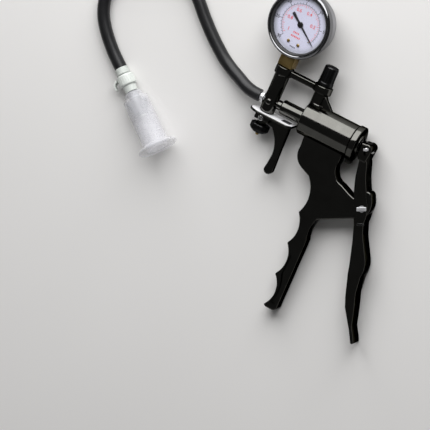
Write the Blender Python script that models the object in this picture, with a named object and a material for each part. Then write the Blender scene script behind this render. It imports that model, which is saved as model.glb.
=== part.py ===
"""Hand vacuum pump: die-cast pistol grip, squeeze lever, dial gauge, hose and a suction cup.

The pump lies on its right side. Its own frame has +X along the cylinder to the rear, +Y up the
front column to the gauge and +Z to the pump's left side; the empty "pump" sets that frame down on
the surface. Sizes are in millimetres and become metres when a mesh is made.
"""
from math import atan2, cos, hypot, pi, radians, sin, tau

import bmesh
import bpy
from mathutils import Matrix, Vector

MM = 0.001
GAP = 0.3                     # clearance between pieces that touch

# How the pump lies on the surface
LEAN_X = radians(3.05)
LEAN_Y = radians(-1.13)
PUMP_PLACE = (-24.36, 25.95, 12.57)

# Cylinder
BARREL_R = 12.6
BARREL_LENGTH = 40.4
BARREL_BORE_R = 10.8
FRONT_WALL = 3.2
LINER_WALL = 0.9
CAP_R = 13.4
CAP_LENGTH = 4.8
ROD_R = 3.0
PISTON_START = 5.0
PISTON_LENGTH = 7.5

# Front column, port tube and nozzle
COLUMN_X = -27.6
COLUMN_R = 5.5
COLUMN_FOOT = -8.8
COLUMN_TOP = 20.1
PORT_Y = -0.7
PORT_R = 5.5
PORT_FRONT = -18.2
NECK_R = 3.6
VALVE_NECK_END = -23.0

# Bridge, rear post and knob
POST_X = 4.0
POST_R = 4.8
RING_R = 7.0
COLLAR_R = 6.8
BRIDGE_LOW = 21.6
BRIDGE_HIGH = 26.0
BRIDGE_HALF = 3.4
KNOB_LOW = 27.4
KNOB_HIGH = 42.2

# Gauge
GAUGE_Y = 60.5
GAUGE_TURN = radians(-6.0)    # turned on its stem towards the front
BEZEL_R = 24.7
CASE_R = 22.6
CASE_BACK = -7.0
CASE_FRONT = 8.0
BEZEL_BACK = 5.2
DIAL_FACE = 7.4
DIAL_R = 22.0
NEEDLE_REST = radians(-34.0)  # from the gauge's own horizontal

# Grip, clevis and lever
FRAME_HALF = 6.0
PIVOT = (67.8, -39.3)
PIVOT_R = 2.4
LEVER_HALF = 7.4
LEVER_HEAD_HALF = 8.0
CHANNEL_HALF = 6.3            # half of the gap between the lever's two ears
CHANNEL_DEPTH = 15.5          # how far below the pivot the ears meet
WRIST_PIN = (53.2, 1.0)
WRIST_R = 1.3
ROD_END_HALF = 5.9

# Trigger and release valve
TRIGGER_PIVOT = (COLUMN_X, -13.6)
PLATE_TOP = -9.8
PLATE_THICK = 1.5
PLATE_HALF = 9.4
STEM_HALF = 3.2

# Hose, connector and cup, in the surface's frame
HOSE_R = 4.65
CUP_AXIS_START = (-165.1, -4.3, 5.4)
CUP_AXIS_END = (-112.7, -42.7, 15.0)


# --------------------------------------------------------------------------- scene and materials
def clear_scene():
    for item in list(bpy.data.objects):
        bpy.data.objects.remove(item)


MATERIALS = {
    "black_paint": ((0.012, 0.012, 0.014, 1), 0.22, 0.0),
    "black_plastic": ((0.02, 0.02, 0.022, 1), 0.35, 0.0),
    "steel": ((0.62, 0.62, 0.6, 1), 0.28, 1.0),
    "chrome": ((0.8, 0.8, 0.82, 1), 0.08, 1.0),
    "brass": ((0.45, 0.33, 0.12, 1), 0.4, 1.0),
    "rubber": ((0.03, 0.03, 0.03, 1), 0.6, 0.0),
    "hose_rubber": ((0.025, 0.025, 0.027, 1), 0.5, 0.0),
    "white_enamel": ((0.8, 0.8, 0.86, 1), 0.45, 0.0),
    "glass": ((0.9, 0.93, 0.95, 0.25), 0.03, 0.0),
    "clear_plastic": ((0.85, 0.86, 0.88, 0.6), 0.25, 0.0),
    "white_plastic": ((0.82, 0.83, 0.82, 1), 0.35, 0.0),
}


def material(name):
    made = bpy.data.materials.get(name)
    if made:
        return made
    color, roughness, metallic = MATERIALS[name]
    made = bpy.data.materials.new(name)
    made.use_nodes = True
    shader = made.node_tree.nodes["Principled BSDF"]
    shader.inputs["Base Color"].default_value = color
    shader.inputs["Alpha"].default_value = color[3]
    shader.inputs["Roughness"].default_value = roughness
    shader.inputs["Metallic"].default_value = metallic
    return made


# --------------------------------------------------------------------------- objects
def empty(name, parent=None, matrix=None):
    made = bpy.data.objects.new(name, None)
    bpy.context.scene.collection.objects.link(made)
    made.parent = parent
    if matrix:
        made.matrix_local = matrix
    return made


def node(name, bm, finish, parent, origin=(0, 0, 0), sharp=35):
    """An object from a bmesh in millimetres, with its origin at the given point of its parent's frame."""
    bmesh.ops.recalc_face_normals(bm, faces=bm.faces)
    bmesh.ops.translate(bm, vec=-Vector(origin), verts=bm.verts)
    bmesh.ops.scale(bm, vec=Vector((MM, MM, MM)), verts=bm.verts)
    mesh = bpy.data.meshes.new(name)
    bm.to_mesh(mesh)
    bm.free()
    mesh.shade_smooth()
    mesh.set_sharp_from_angle(angle=radians(sharp))
    mesh.materials.append(material(finish))
    made = bpy.data.objects.new(name, mesh)
    bpy.context.scene.collection.objects.link(made)
    made.parent = parent
    made.location = Vector(origin) * MM
    return made


def guide(name, bm, parent):
    """A tool for a Boolean: it is in the file, but it isn't a piece of the pump."""
    made = node(name, bm, "steel", parent)
    made.hide_render = True
    made.display_type = "WIRE"
    return made


def boolean(target, tool, operation="DIFFERENCE"):
    made = target.modifiers.new(tool.name, "BOOLEAN")
    made.operation = operation
    made.object = tool
    made.solver = "EXACT"


def bevel(target, width, segments=2, angle=55):
    made = target.modifiers.new("edges", "BEVEL")
    made.width = width * MM
    made.segments = segments
    made.limit_method = "ANGLE"
    made.angle_limit = radians(angle)
    made.use_clamp_overlap = True


# --------------------------------------------------------------------------- shapes
def direction_matrix(axis, at):
    """A frame at a point whose +Z is the given direction."""
    turn = Vector((0, 0, 1)).rotation_difference(Vector(axis)).to_matrix().to_4x4()
    return Matrix.Translation(Vector(at)) @ turn


def turned(profile, steps=32, axis=(0, 0, 1), at=(0, 0, 0), closed=False, flute=0.0, flutes=0):
    """A solid of revolution from (radius, height) points; a closed profile makes a ring or a sleeve."""
    bm = bmesh.new()
    rings = []
    for radius, height in profile:
        if radius < 1e-6:
            rings.append([bm.verts.new((0, 0, height))])
            continue
        ring = []
        for k in range(steps):
            t = tau * k / steps
            r = radius * (1 + flute * cos(flutes * t))
            ring.append(bm.verts.new((r * cos(t), r * sin(t), height)))
        rings.append(ring)
    pairs = list(zip(rings, rings[1:]))
    if closed:
        pairs.append((rings[-1], rings[0]))
    for low, high in pairs:
        for k in range(steps):
            n = (k + 1) % steps
            corners = [low[k % len(low)], low[n % len(low)], high[n % len(high)], high[k % len(high)]]
            corners = list(dict.fromkeys(corners))
            if len(corners) > 2:
                bm.faces.new(corners)
    if not closed:
        for ring in (rings[0], rings[-1]):
            if len(ring) > 1:
                bm.faces.new(ring)
    bmesh.ops.transform(bm, matrix=direction_matrix(axis, at), verts=bm.verts)
    return bm


def sleeve(inner, outer, low, high, **places):
    return turned([(outer, low), (outer, high), (inner, high), (inner, low)], closed=True, **places)


def rod(radius, low, high, chamfer=0.0, **places):
    if not chamfer:
        return turned([(radius, low), (radius, high)], **places)
    inner = radius - chamfer
    profile = [(inner, low), (radius, low + chamfer), (radius, high - chamfer), (inner, high)]
    return turned(profile, **places)


def extruded(outline, low, high):
    """A plate: an outline in X and Y between two heights."""
    bm = bmesh.new()
    base = [bm.verts.new((x, y, low)) for x, y in outline]
    face = bm.faces.new(base)
    lifted = bmesh.ops.extrude_face_region(bm, geom=[face])["geom"]
    verts = [v for v in lifted if isinstance(v, bmesh.types.BMVert)]
    bmesh.ops.translate(bm, vec=(0, 0, high - low), verts=verts)
    return bm


def box(low, high):
    bm = bmesh.new()
    bmesh.ops.create_cube(bm, size=1)
    low, high = Vector(low), Vector(high)
    size = high - low
    bmesh.ops.scale(bm, vec=size, verts=bm.verts)
    bmesh.ops.translate(bm, vec=(low + high) / 2, verts=bm.verts)
    return bm


def arc(center, radius, start, end, count):
    """Points on a circle, angles in degrees."""
    steps = [radians(start + (end - start) * k / (count - 1)) for k in range(count)]
    return [(center[0] + radius * cos(t), center[1] + radius * sin(t)) for t in steps]


def arc_through(a, b, c, count):
    """Points on the circle through three points, from the first to the last, without the first."""
    ax, ay, bx, by, cx, cy = *a, *b, *c
    d = 2 * (ax * (by - cy) + bx * (cy - ay) + cx * (ay - by))
    sa, sb, sc = ax * ax + ay * ay, bx * bx + by * by, cx * cx + cy * cy
    ux = (sa * (by - cy) + sb * (cy - ay) + sc * (ay - by)) / d
    uy = (sa * (cx - bx) + sb * (ax - cx) + sc * (bx - ax)) / d
    start, through, end = (atan2(y - uy, x - ux) for x, y in (a, b, c))
    sweep = (end - start) % tau
    if (through - start) % tau > sweep:
        sweep -= tau
    radius = hypot(ax - ux, ay - uy)
    angles = [start + sweep * k / count for k in range(1, count + 1)]
    return [(ux + radius * cos(t), uy + radius * sin(t)) for t in angles]


def joined(first, *others):
    """Bmeshes put together as they are, for a Boolean tool made of several bodies."""
    for other in others:
        mesh = bpy.data.meshes.new("part")
        other.to_mesh(mesh)
        other.free()
        first.from_mesh(mesh)
        bpy.data.meshes.remove(mesh)
    return first


def moved(bm, matrix):
    bmesh.ops.transform(bm, matrix=matrix, verts=bm.verts)
    return bm


def smooth_route(points, step, closeness=24):
    """Evenly spaced points on a Catmull-Rom curve through the route's own points."""
    knots = [2 * Vector(points[0]) - Vector(points[1])]
    knots += [Vector(p) for p in points]
    knots.append(2 * knots[-1] - knots[-2])
    fine = []
    for a, b, c, d in zip(knots, knots[1:], knots[2:], knots[3:]):
        for k in range(closeness):
            t = k / closeness
            fine.append(0.5 * (2 * b + (c - a) * t + (2 * a - 5 * b + 4 * c - d) * t * t
                               + (3 * b - a - 3 * c + d) * t ** 3))
    fine.append(knots[-2])
    length = sum((q - p).length for p, q in zip(fine, fine[1:]))
    count = round(length / step)
    even, travelled, wanted = [fine[0]], 0.0, 1
    for p, q in zip(fine, fine[1:]):
        piece = (q - p).length
        while wanted < count and travelled + piece >= wanted * length / count:
            part = (wanted * length / count - travelled) / piece
            even.append(p.lerp(q, part))
            wanted += 1
        travelled += piece
    even.append(fine[-1])
    return even


def tube(name, points, radius, finish, parent, resolution=2):
    """A curve object of round section with filled caps through points in millimetres."""
    curve = bpy.data.curves.new(name, "CURVE")
    curve.dimensions = "3D"
    curve.bevel_depth = radius * MM
    curve.bevel_resolution = resolution
    curve.use_fill_caps = True
    spline = curve.splines.new("POLY")
    spline.points.add(len(points) - 1)
    for place, point in zip(spline.points, points):
        place.co = (*(Vector(point) * MM), 1)
    curve.materials.append(material(finish))
    made = bpy.data.objects.new(name, curve)
    bpy.context.scene.collection.objects.link(made)
    made.parent = parent
    return made


def helix(center, axis, radius, start, end, turns, per_turn=12):
    """Points of a coil spring between two heights along an axis, with closed end turns."""
    frame = direction_matrix(axis, center)
    points = []
    count = round(turns * per_turn)
    for k in range(count + 1):
        t = tau * k / per_turn
        points.append(frame @ Vector((radius * cos(t), radius * sin(t), start + (end - start) * k / count)))
    return points


# --------------------------------------------------------------------------- body casting
def frame_outline():
    """Side view of the grip and of the web with the lever's eye, anticlockwise from the barrel's front."""
    ridges = [(25.5, -63.1), (26.9, -86.9), (27.9, -111.3), (29.2, -135.4)]
    grooves = [(30.3, -75.2), (31.9, -99.6), (33.4, -124.2)]
    outline = [(6.4, -9.0), (7.0, -20.0)]
    outline += arc_through((7.0, -20.0), (9.4, -29.4), (14.5, -33.2), 7)
    outline += [(21.6, -36.0), (24.0, -39.0)]
    outline += arc_through((24.0, -39.0), (28.0, -51.0), ridges[0], 8)
    for ridge, groove, following in zip(ridges, grooves, ridges[1:]):
        outline += arc_through(ridge, groove, following, 8)
    outline += [(31.4, -136.6), (36.8, -136.6)]
    outline += arc_through((36.8, -136.6), (38.9, -135.4), (39.4, -132.6), 3)
    outline += [(39.3, -80.0)]
    outline += arc_through((39.3, -80.0), (38.0, -71.0), (40.6, -61.7), 6)
    outline += [(69.6, -46.2), (71.4, -44.6)]
    outline += arc_through((71.4, -44.6), (73.0, -35.6), (70.6, -29.6), 6)
    outline += arc_through((70.6, -29.6), (67.0, -26.4), (63.8, -27.8), 5)
    outline += [(58.6, -35.4), (54.5, -34.2), (46.7, -30.9)]
    outline += arc_through((46.7, -30.9), (38.9, -25.8), (37.8, -18.0), 6)
    outline += [(37.8, -9.0)]
    return outline


def build_frame(pump):
    shape = extruded(frame_outline(), -FRAME_HALF, FRAME_HALF)
    frame = node("body_casting", shape, "black_paint", pump, sharp=40)
    bevel(frame, 1.3)
    along, up = (1, 0, 0), (0, 1, 0)
    barrel = rod(BARREL_R, 0, BARREL_LENGTH, 0.6, steps=48, axis=along)
    post = turned([(POST_R, 5), (POST_R, 21.0), (3.9, 21.0), (3.9, 33.0)], axis=up, at=(POST_X, 0, 0))
    foot = turned([(5.6, 8), (5.6, 12.9), (5.0, 13.6), (4.0, 13.7)], axis=up, at=(POST_X + 1.4, 0, 0))
    rib = extruded([(6, 8), (6, 20.6), (9.0, 20.6), (10.6, 18.4), (17.6, 12), (20, 8)], -2.4, 2.4)
    for name, shape in (("barrel", barrel), ("post", post), ("foot", foot), ("rib", rib)):
        boolean(frame, guide("add_" + name, shape, pump), "UNION")
    bore = rod(BARREL_BORE_R, FRONT_WALL, BARREL_LENGTH + 9, steps=48, axis=along)
    inlet = rod(4.3, -2, FRONT_WALL + 1, axis=along, at=(0, PORT_Y, 0), steps=24)
    vent = rod(1.6, 6, 36, axis=up, at=(POST_X, 0, 0), steps=12)
    pin_hole = rod(PIVOT_R + 0.15, -12, 12, at=(*PIVOT, 0), steps=24)
    side_recess = grip_recess(1)
    other_recess = grip_recess(-1)
    cuts = (("bore", bore), ("inlet", inlet), ("vent", vent), ("pivot_hole", pin_hole),
            ("left_recess", side_recess), ("right_recess", other_recess))
    for name, shape in cuts:
        boolean(frame, guide("cut_" + name, shape, pump))
    return frame


def grip_recess(side):
    """The shallow channel in each face of the lower grip."""
    outline = arc_through((31.9, -108.0), (35.2, -121.0), (33.6, -131.6), 7)
    outline += [(37.0, -131.6), (37.2, -94.0), (33.2, -94.0)]
    depth = sorted((side * (FRAME_HALF - 1.6), side * (FRAME_HALF + 2)))
    return extruded(outline, *depth)


def build_cylinder(pump):
    along = (1, 0, 0)
    outer = BARREL_BORE_R - GAP
    inner = outer - LINER_WALL
    node("cylinder_liner", sleeve(inner, outer, FRONT_WALL + GAP, 37.6, axis=along, steps=32), "brass", pump)
    cap = node("rear_cap", rear_cap_shape(), "black_paint", pump)
    lug = box((BARREL_LENGTH + 0.5, -15.4, -4), (BARREL_LENGTH + CAP_LENGTH - 0.4, -11.5, 4))
    boolean(cap, guide("add_cap_lug", lug, pump), "UNION")
    seal_low = BARREL_LENGTH + CAP_LENGTH - 0.8
    node("rod_wiper", sleeve(ROD_R + 0.12, 5.0, seal_low, seal_low + 1.6, axis=along), "rubber", pump)


def rear_cap_shape():
    """Threaded plug with a collar outside the barrel and a boss that guides the rod."""
    front, face = 38.2, BARREL_LENGTH + CAP_LENGTH
    profile = [(BARREL_BORE_R - GAP, front), (BARREL_BORE_R - GAP, BARREL_LENGTH + GAP),
               (CAP_R - 0.5, BARREL_LENGTH + GAP), (CAP_R, BARREL_LENGTH + GAP + 0.5), (CAP_R, face - 0.8),
               (CAP_R - 0.8, face), (7.2, face), (7.0, face + 1.2), (5.3, face + 1.2), (5.3, face - 1.1),
               (ROD_R + 0.25, face - 1.1), (ROD_R + 0.25, front)]
    return turned(profile, steps=40, axis=(1, 0, 0), closed=True)


def build_piston(pump):
    along = (1, 0, 0)
    radius = BARREL_BORE_R - GAP - LINER_WALL - 0.25
    start, end = PISTON_START, PISTON_START + PISTON_LENGTH
    groove = radius - 2.0
    profile = [(1.4, start), (radius - 0.4, start), (radius, start + 0.4), (radius, start + 2.4),
               (groove, start + 2.4), (groove, start + 5.4), (radius, start + 5.4), (radius, end - 0.4),
               (radius - 0.4, end), (2.2, end), (2.2, start + 4), (1.4, start + 4)]
    node("piston", turned(profile, steps=28, axis=along, closed=True), "black_plastic", pump)
    ring = sleeve(groove + 0.25, radius + 0.15, start + 2.7, start + 5.1, axis=along, steps=28)
    node("piston_seal", ring, "rubber", pump)
    flap = sleeve(0.9, 5.0, start - GAP - 0.7, start - GAP, axis=along, steps=16)
    node("exhaust_flap", flap, "rubber", pump)
    shaft_end = WRIST_PIN[0] - 6.8
    shaft = turned([(1.9, start + 4.4), (1.9, end + GAP), (ROD_R, end + GAP), (ROD_R, shaft_end),
                    (2.0, shaft_end), (2.0, shaft_end + 1.2)], axis=along, steps=20)
    node("piston_rod", shaft, "steel", pump)
    build_rod_end(pump)
    reach = LEVER_HEAD_HALF + 0.8
    pin = rod(WRIST_R, -reach, reach, 0.4, at=(*WRIST_PIN, 0), steps=20)
    node("wrist_pin", pin, "steel", pump)
    coil = helix((0, 0, 0), along, 7.2, end + 0.95, 37.45, 4, per_turn=12)
    tube("return_spring", coil, 0.55, "steel", pump, resolution=1)


def build_rod_end(pump):
    """The block on the rod's end that carries the wrist pin between the lever's ears."""
    x, y = WRIST_PIN
    outline = [(x - 6.6, -3.4), (x, -3.4)] + arc((x, y), 3.3, -60, 90, 8) + [(x - 6.6, 3.6)]
    block = node("rod_end", extruded(outline, -ROD_END_HALF, ROD_END_HALF), "steel", pump)
    bevel(block, 0.6)
    holes = joined(rod(WRIST_R + 0.1, -10, 10, at=(x, y, 0), steps=20),
                   rod(2.3, x - 10, x - 4.7, axis=(1, 0, 0), steps=20))
    boolean(block, guide("cut_rod_end_holes", holes, pump))


# --------------------------------------------------------------------------- lever
def lever_outline():
    """Side view of the lever below its head, anticlockwise from the top of its left edge."""
    outline = [(50.9, -6.4), (53.6, -20.4), (57.3, -31.4), (63.2, -44.6), (67.0, -52.6), (70.4, -62.1),
               (75.6, -79.0), (77.5, -86.5), (82.7, -102.3), (85.8, -109.7), (95.2, -123.2)]
    outline += arc_through((99.6, -130.0), (101.1, -131.5), (101.5, -129.4), 3)
    outline += [(99.9, -126.3), (95.9, -120.1), (92.6, -108.5), (88.6, -96.8)]
    outline += arc_through((86.8, -86.0), (87.4, -80.0), (85.1, -71.8), 4)
    outline += [(76.4, -57.2), (73.0, -48.6)]
    outline += arc_through((73.0, -48.6), (72.2, -40.0), (68.2, -32.0), 4)
    outline += [(60.9, -17.9), (56.8, -6.4)]
    return outline


def lever_head():
    """The thicker head of the lever around the wrist pin."""
    x, y = WRIST_PIN
    outline = [(x - 5.0, -4.4), (x - 3.1, -8.4), (x + 2.8, -8.4)]
    outline += arc((x, y), 3.8, -20, 118, 9)
    outline += [(x - 5.0, 4.2)]
    return outline


def lever_channel():
    """The gap between the lever's ears, which takes the casting's eye and the rod's end."""
    outline = arc(PIVOT, CHANNEL_DEPTH, -180, 0, 12)
    reach = 60
    outline += [(PIVOT[0] + reach, PIVOT[1]), (PIVOT[0] + reach, reach), (PIVOT[0] - reach, reach),
                (PIVOT[0] - reach, PIVOT[1])]
    return outline


def build_lever(pump):
    pivot = (*PIVOT, 0)
    shape = extruded(lever_outline(), -LEVER_HALF, LEVER_HALF)
    lever = node("lever", shape, "black_paint", pump, pivot, sharp=40)
    bevel(lever, 1.2)
    head = guide("add_head", extruded(lever_head(), -LEVER_HEAD_HALF, LEVER_HEAD_HALF), pump)
    bevel(head, 0.7)
    boolean(lever, head, "UNION")
    channel = extruded(lever_channel(), -CHANNEL_HALF, CHANNEL_HALF)
    boolean(lever, guide("cut_channel", channel, pump))
    hole = rod(PIVOT_R + 0.12, -12, 12, at=pivot, steps=24)
    boolean(lever, guide("cut_lever_holes", joined(hole, wrist_slot()), pump))


def wrist_slot():
    """The slot that the wrist pin slides along as the lever swings."""
    reach = Vector(WRIST_PIN) - Vector(PIVOT)
    out = reach.normalized()
    side = Vector((-out.y, out.x))
    half = WRIST_R + 0.45
    angle = atan2(out.y, out.x) * 180 / pi
    far = Vector(WRIST_PIN) + out * 0.35
    near = Vector(WRIST_PIN) - out * 2.9
    outline = arc(far, half, angle - 90, angle + 90, 9) + arc(near, half, angle + 90, angle + 270, 9)
    return extruded(outline, -9, 9)


def build_pivot(pump):
    """T-headed pivot pin on the left, with a clip on its right end."""
    head = LEVER_HALF + GAP
    shaft = rod(PIVOT_R, -LEVER_HALF - 2.6, head + 0.6, at=(*PIVOT, 0), steps=24)
    pin = node("pivot_pin", shaft, "steel", pump)
    bar = extruded(stadium(PIVOT, 3.6, 1.5, radians(27)), head, head + 1.5)
    boolean(pin, guide("add_pin_bar", bar, pump), "UNION")
    groove_low, groove_high = -LEVER_HALF - 1.7, -LEVER_HALF - 0.8
    groove = sleeve(PIVOT_R - 0.5, PIVOT_R + 1, groove_low, groove_high, at=(*PIVOT, 0), steps=24)
    boolean(pin, guide("cut_clip_groove", groove, pump))
    clip = arc(PIVOT, 4.6, -60, 240, 15) + arc(PIVOT, PIVOT_R - 0.3, 225, -45, 13)
    node("pivot_clip", extruded(clip, groove_low + 0.15, groove_high - 0.15), "steel", pump)


def stadium(center, half_length, half_width, angle):
    """A bar with round ends, as an outline."""
    along = Vector((cos(angle), sin(angle))) * (half_length - half_width)
    degrees = angle * 180 / pi
    far, near = Vector(center) + along, Vector(center) - along
    outline = arc(far, half_width, degrees - 90, degrees + 90, 7)
    return outline + arc(near, half_width, degrees + 90, degrees + 270, 7)


# --------------------------------------------------------------------------- column, port and bridge
def build_column(pump):
    up, at = (0, 1, 0), (COLUMN_X, 0, 0)
    profile = [(NECK_R, VALVE_NECK_END), (NECK_R, COLUMN_FOOT), (COLUMN_R - 0.3, COLUMN_FOOT),
               (COLUMN_R, COLUMN_FOOT + 0.3), (COLUMN_R, COLUMN_TOP), (4.2, COLUMN_TOP), (4.2, 26.4)]
    column = node("valve_column", turned(profile, steps=32, axis=up, at=at), "black_paint", pump)
    along, port = (1, 0, 0), (0, PORT_Y, 0)
    bore = [(1.4, -30), (1.4, 17), (2.9, 17), (2.9, 30)]
    boolean(column, guide("cut_bore", turned(bore, steps=20, axis=up, at=at), pump))
    ports = [(2.3, COLUMN_X - 9), (2.3, COLUMN_X - 2.6), (1.2, COLUMN_X - 2.6), (1.2, COLUMN_X + 2.6),
             (2.9, COLUMN_X + 2.6), (2.9, COLUMN_X + 9)]
    boolean(column, guide("cut_ports", turned(ports, steps=20, axis=along, at=port), pump))
    seats = joined(*[rod(1.35, *sorted((side * 2.2, side * 8)), at=(*TRIGGER_PIVOT, 0), steps=16)
                     for side in (1, -1)])
    boolean(column, guide("cut_neck_seats", seats, pump))
    plug_seat = rod(1.9, 3.2, 8, at=(COLUMN_X, PORT_Y, 0), steps=16)
    boolean(column, guide("cut_plug_seat", plug_seat, pump))
    plug = turned([(1.6, 3.5), (1.6, 5.8), (2.2, 5.8), (2.2, 6.3), (1.4, 6.9), (0, 7.1)], steps=16,
                  at=(COLUMN_X, PORT_Y, 0))
    node("side_plug", plug, "steel", pump)


def build_port_tube(pump):
    """The tube between the column and the cylinder, with the inlet check valve inside it."""
    along, at = (1, 0, 0), (0, PORT_Y, 0)
    neck_front = COLUMN_X + COLUMN_R + 0.1
    profile = [(2.6, COLUMN_X + 3.0), (2.6, neck_front + 0.2), (NECK_R, neck_front + 0.2),
               (NECK_R, PORT_FRONT), (PORT_R - 0.3, PORT_FRONT), (PORT_R, PORT_FRONT + 0.3),
               (PORT_R, -GAP), (4.0, -GAP), (4.0, FRONT_WALL - 0.2), (3.3, FRONT_WALL - 0.2),
               (3.3, PORT_FRONT + 2.2), (1.1, PORT_FRONT + 2.2), (1.1, COLUMN_X + 3.0)]
    node("port_tube", turned(profile, steps=24, axis=along, at=at, closed=True), "black_paint", pump)
    seat = PORT_FRONT + 2.2 + GAP
    disc_place = (seat, PORT_Y, 0)
    disc = rod(2.7, seat, seat + 1.1, axis=along, at=at, steps=20)
    node("inlet_valve_disc", disc, "rubber", pump, disc_place)
    coil = helix(at, along, 1.9, seat + 1.75, -6.6, 5, per_turn=8)
    tube("inlet_valve_spring", coil, 0.28, "steel", pump, resolution=1)
    node("inlet_valve_retainer", sleeve(1.2, 3.0, -6.0, -4.4, axis=along, at=at, steps=20), "brass", pump)


def build_nozzle(pump):
    along, at = (-1, 0, 0), (0, PORT_Y, 0)
    face = -(COLUMN_X - COLUMN_R)
    profile = [(2.0, face - 2.6), (2.0, face + 0.1), (4.1, face + 0.1), (4.1, face + 1.1), (2.9, face + 1.3),
               (2.9, face + 3.1), (1.1, face + 3.1), (1.1, face - 2.6)]
    node("hose_nozzle", turned(profile, steps=20, axis=along, at=at, closed=True), "black_paint", pump)


def build_bridge(pump):
    """The bar whose rings sit on the column and on the rear post."""
    front, rear = COLUMN_X + COLLAR_R - 1.3, POST_X - RING_R + 1.6
    bar = extruded([(front, BRIDGE_LOW), (rear, BRIDGE_LOW), (rear, BRIDGE_HIGH), (front, BRIDGE_HIGH)],
                   -BRIDGE_HALF, BRIDGE_HALF)
    bridge = node("bridge", bar, "black_paint", pump)
    bevel(bridge, 0.8)
    up = (0, 1, 0)
    collar = rod(COLLAR_R, COLUMN_TOP + GAP, 26.7, 0.5, axis=up, at=(COLUMN_X, 0, 0), steps=28)
    ring = rod(RING_R, 21.3, 27.1, 0.5, axis=up, at=(POST_X, 0, 0), steps=28)
    boolean(bridge, guide("add_collar", collar, pump), "UNION")
    boolean(bridge, guide("add_ring", ring, pump), "UNION")
    holes = joined(rod(4.5, 10, 40, axis=up, at=(COLUMN_X, 0, 0), steps=20),
                   rod(4.2, 10, 40, axis=up, at=(POST_X, 0, 0), steps=20))
    boolean(bridge, guide("cut_bridge_holes", holes, pump))


def build_knob(pump):
    """The vent knob, with a blind hole over the post's spigot and a grooved grip."""
    low, high = KNOB_LOW, KNOB_HIGH
    profile = [(5.5, low), (5.75, low + 0.4), (5.75, low + 2.2), (5.5, low + 2.6), (5.25, high - 1.0),
               (4.6, high - 0.2), (0, high)]
    inner = [(0, 33.6), (4.2, 33.6), (4.2, low)]
    shape = turned(profile + inner, steps=32, axis=(0, 1, 0), at=(POST_X, 0, 0), closed=True)
    node("vent_knob", shape, "black_plastic", pump, (POST_X, low, 0))


# --------------------------------------------------------------------------- gauge
def gauge_frame(pump):
    """The gauge's own frame: +Z out of the dial, +Y up its stem."""
    turn = Matrix.Translation(Vector((COLUMN_X, GAUGE_Y, 0)) * MM) @ Matrix.Rotation(GAUGE_TURN, 4, "Y")
    return empty("gauge", pump, turn)


def build_gauge(pump):
    gauge = gauge_frame(pump)
    stem_low, case_low = 27.1 - GAUGE_Y, -CASE_R
    stem = node("gauge_stem", box((-5.7, stem_low, -4.7), (5.7, case_low + 4.0, 4.7)), "brass", gauge)
    bevel(stem, 0.5)
    thread = rod(2.6, stem_low - 8, stem_low + 1, axis=(0, 1, 0), steps=20)
    boolean(stem, guide("add_stem_thread", thread, gauge), "UNION")
    passage = rod(1.0, stem_low - 12, case_low + 3, axis=(0, 1, 0), steps=12)
    boolean(stem, guide("cut_stem_passage", passage, gauge))

    back, front = CASE_BACK, CASE_FRONT
    case_profile = [(0, back), (CASE_R - 2.5, back), (CASE_R - 0.7, back + 0.7), (CASE_R, back + 2.5),
                    (CASE_R, front), (CASE_R - 0.8, front), (CASE_R - 0.8, back + 3),
                    (CASE_R - 3, back + 0.9), (0, back + 0.9)]
    case = node("gauge_case", turned(case_profile, steps=48), "chrome", gauge)
    opening = box((-6.0, -30, -5.0), (6.0, case_low + 6, 5.0))
    boolean(case, guide("cut_stem_opening", opening, gauge))

    low = BEZEL_BACK
    bezel_profile = [(CASE_R + 0.3, low), (BEZEL_R - 0.5, low), (BEZEL_R, low + 0.6), (BEZEL_R, low + 4.6),
                     (BEZEL_R - 0.5, low + 5.8), (BEZEL_R - 1.5, low + 6.4), (BEZEL_R - 2.1, low + 6.0),
                     (CASE_R - 0.5, low + 4.9), (CASE_R - 0.5, front + GAP), (CASE_R + 0.3, front + GAP)]
    node("gauge_bezel", turned(bezel_profile, steps=48, closed=True), "chrome", gauge)
    lens_low = DIAL_FACE + 1.5
    ring = [(20.7, lens_low + 1.2), (21.7, lens_low + 2.0), (21.7, DIAL_FACE + GAP), (20.7, DIAL_FACE + GAP)]
    node("bezel_gasket", turned(ring, steps=40, closed=True), "rubber", gauge)
    lens = turned([(20.4, lens_low), (20.4, lens_low + 1)], steps=40)
    node("gauge_lens", lens, "glass", gauge)
    dial = turned([(1.1, DIAL_FACE - 0.8), (DIAL_R - 0.4, DIAL_FACE - 0.8), (DIAL_R - 0.4, DIAL_FACE),
                   (1.1, DIAL_FACE)], steps=40, closed=True)
    node("gauge_dial", dial, "white_enamel", gauge)
    return gauge


def build_needle(gauge):
    low = DIAL_FACE + 0.35
    c, s = cos(NEEDLE_REST), sin(NEEDLE_REST)
    along, side = Vector((c, s)), Vector((-s, c))

    def at(reach, offset):
        return tuple(along * reach + side * offset)

    outline = [at(1.6, -0.75), at(16.8, -0.25), at(18.6, 0), at(16.8, 0.25), at(1.6, 0.75), at(-3.2, 0.7),
               at(-10.4, 1.15), at(-10.4, -1.15), at(-3.2, -0.7)]
    needle = node("needle", extruded(outline, low, low + 0.4), "black_plastic", gauge)
    hub = turned([(0.75, DIAL_FACE - 2.4), (0.75, low - 0.1), (2.3, low - 0.1), (2.3, low + 0.55),
                  (1.7, low + 0.62), (0, low + 0.62)], steps=24)
    boolean(needle, guide("add_needle_hub", hub, gauge), "UNION")


def gauge_screws(gauge):
    """Two screws that hold the dial, and the pin that the needle rests against."""
    low = DIAL_FACE + GAP
    for name, x in (("dial_screw_left", -3.6), ("dial_screw_right", 4.6)):
        head = turned([(1.15, low), (1.15, low + 0.45), (0.8, low + 0.7), (0, low + 0.7)], steps=14,
                      at=(x, -14.2, 0))
        node(name, head, "brass", gauge)
    turn = NEEDLE_REST - radians(4.5)
    pin = rod(0.4, low, low + 0.9, steps=10, at=(14 * cos(turn), 14 * sin(turn), 0))
    node("needle_stop", pin, "brass", gauge)


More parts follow.
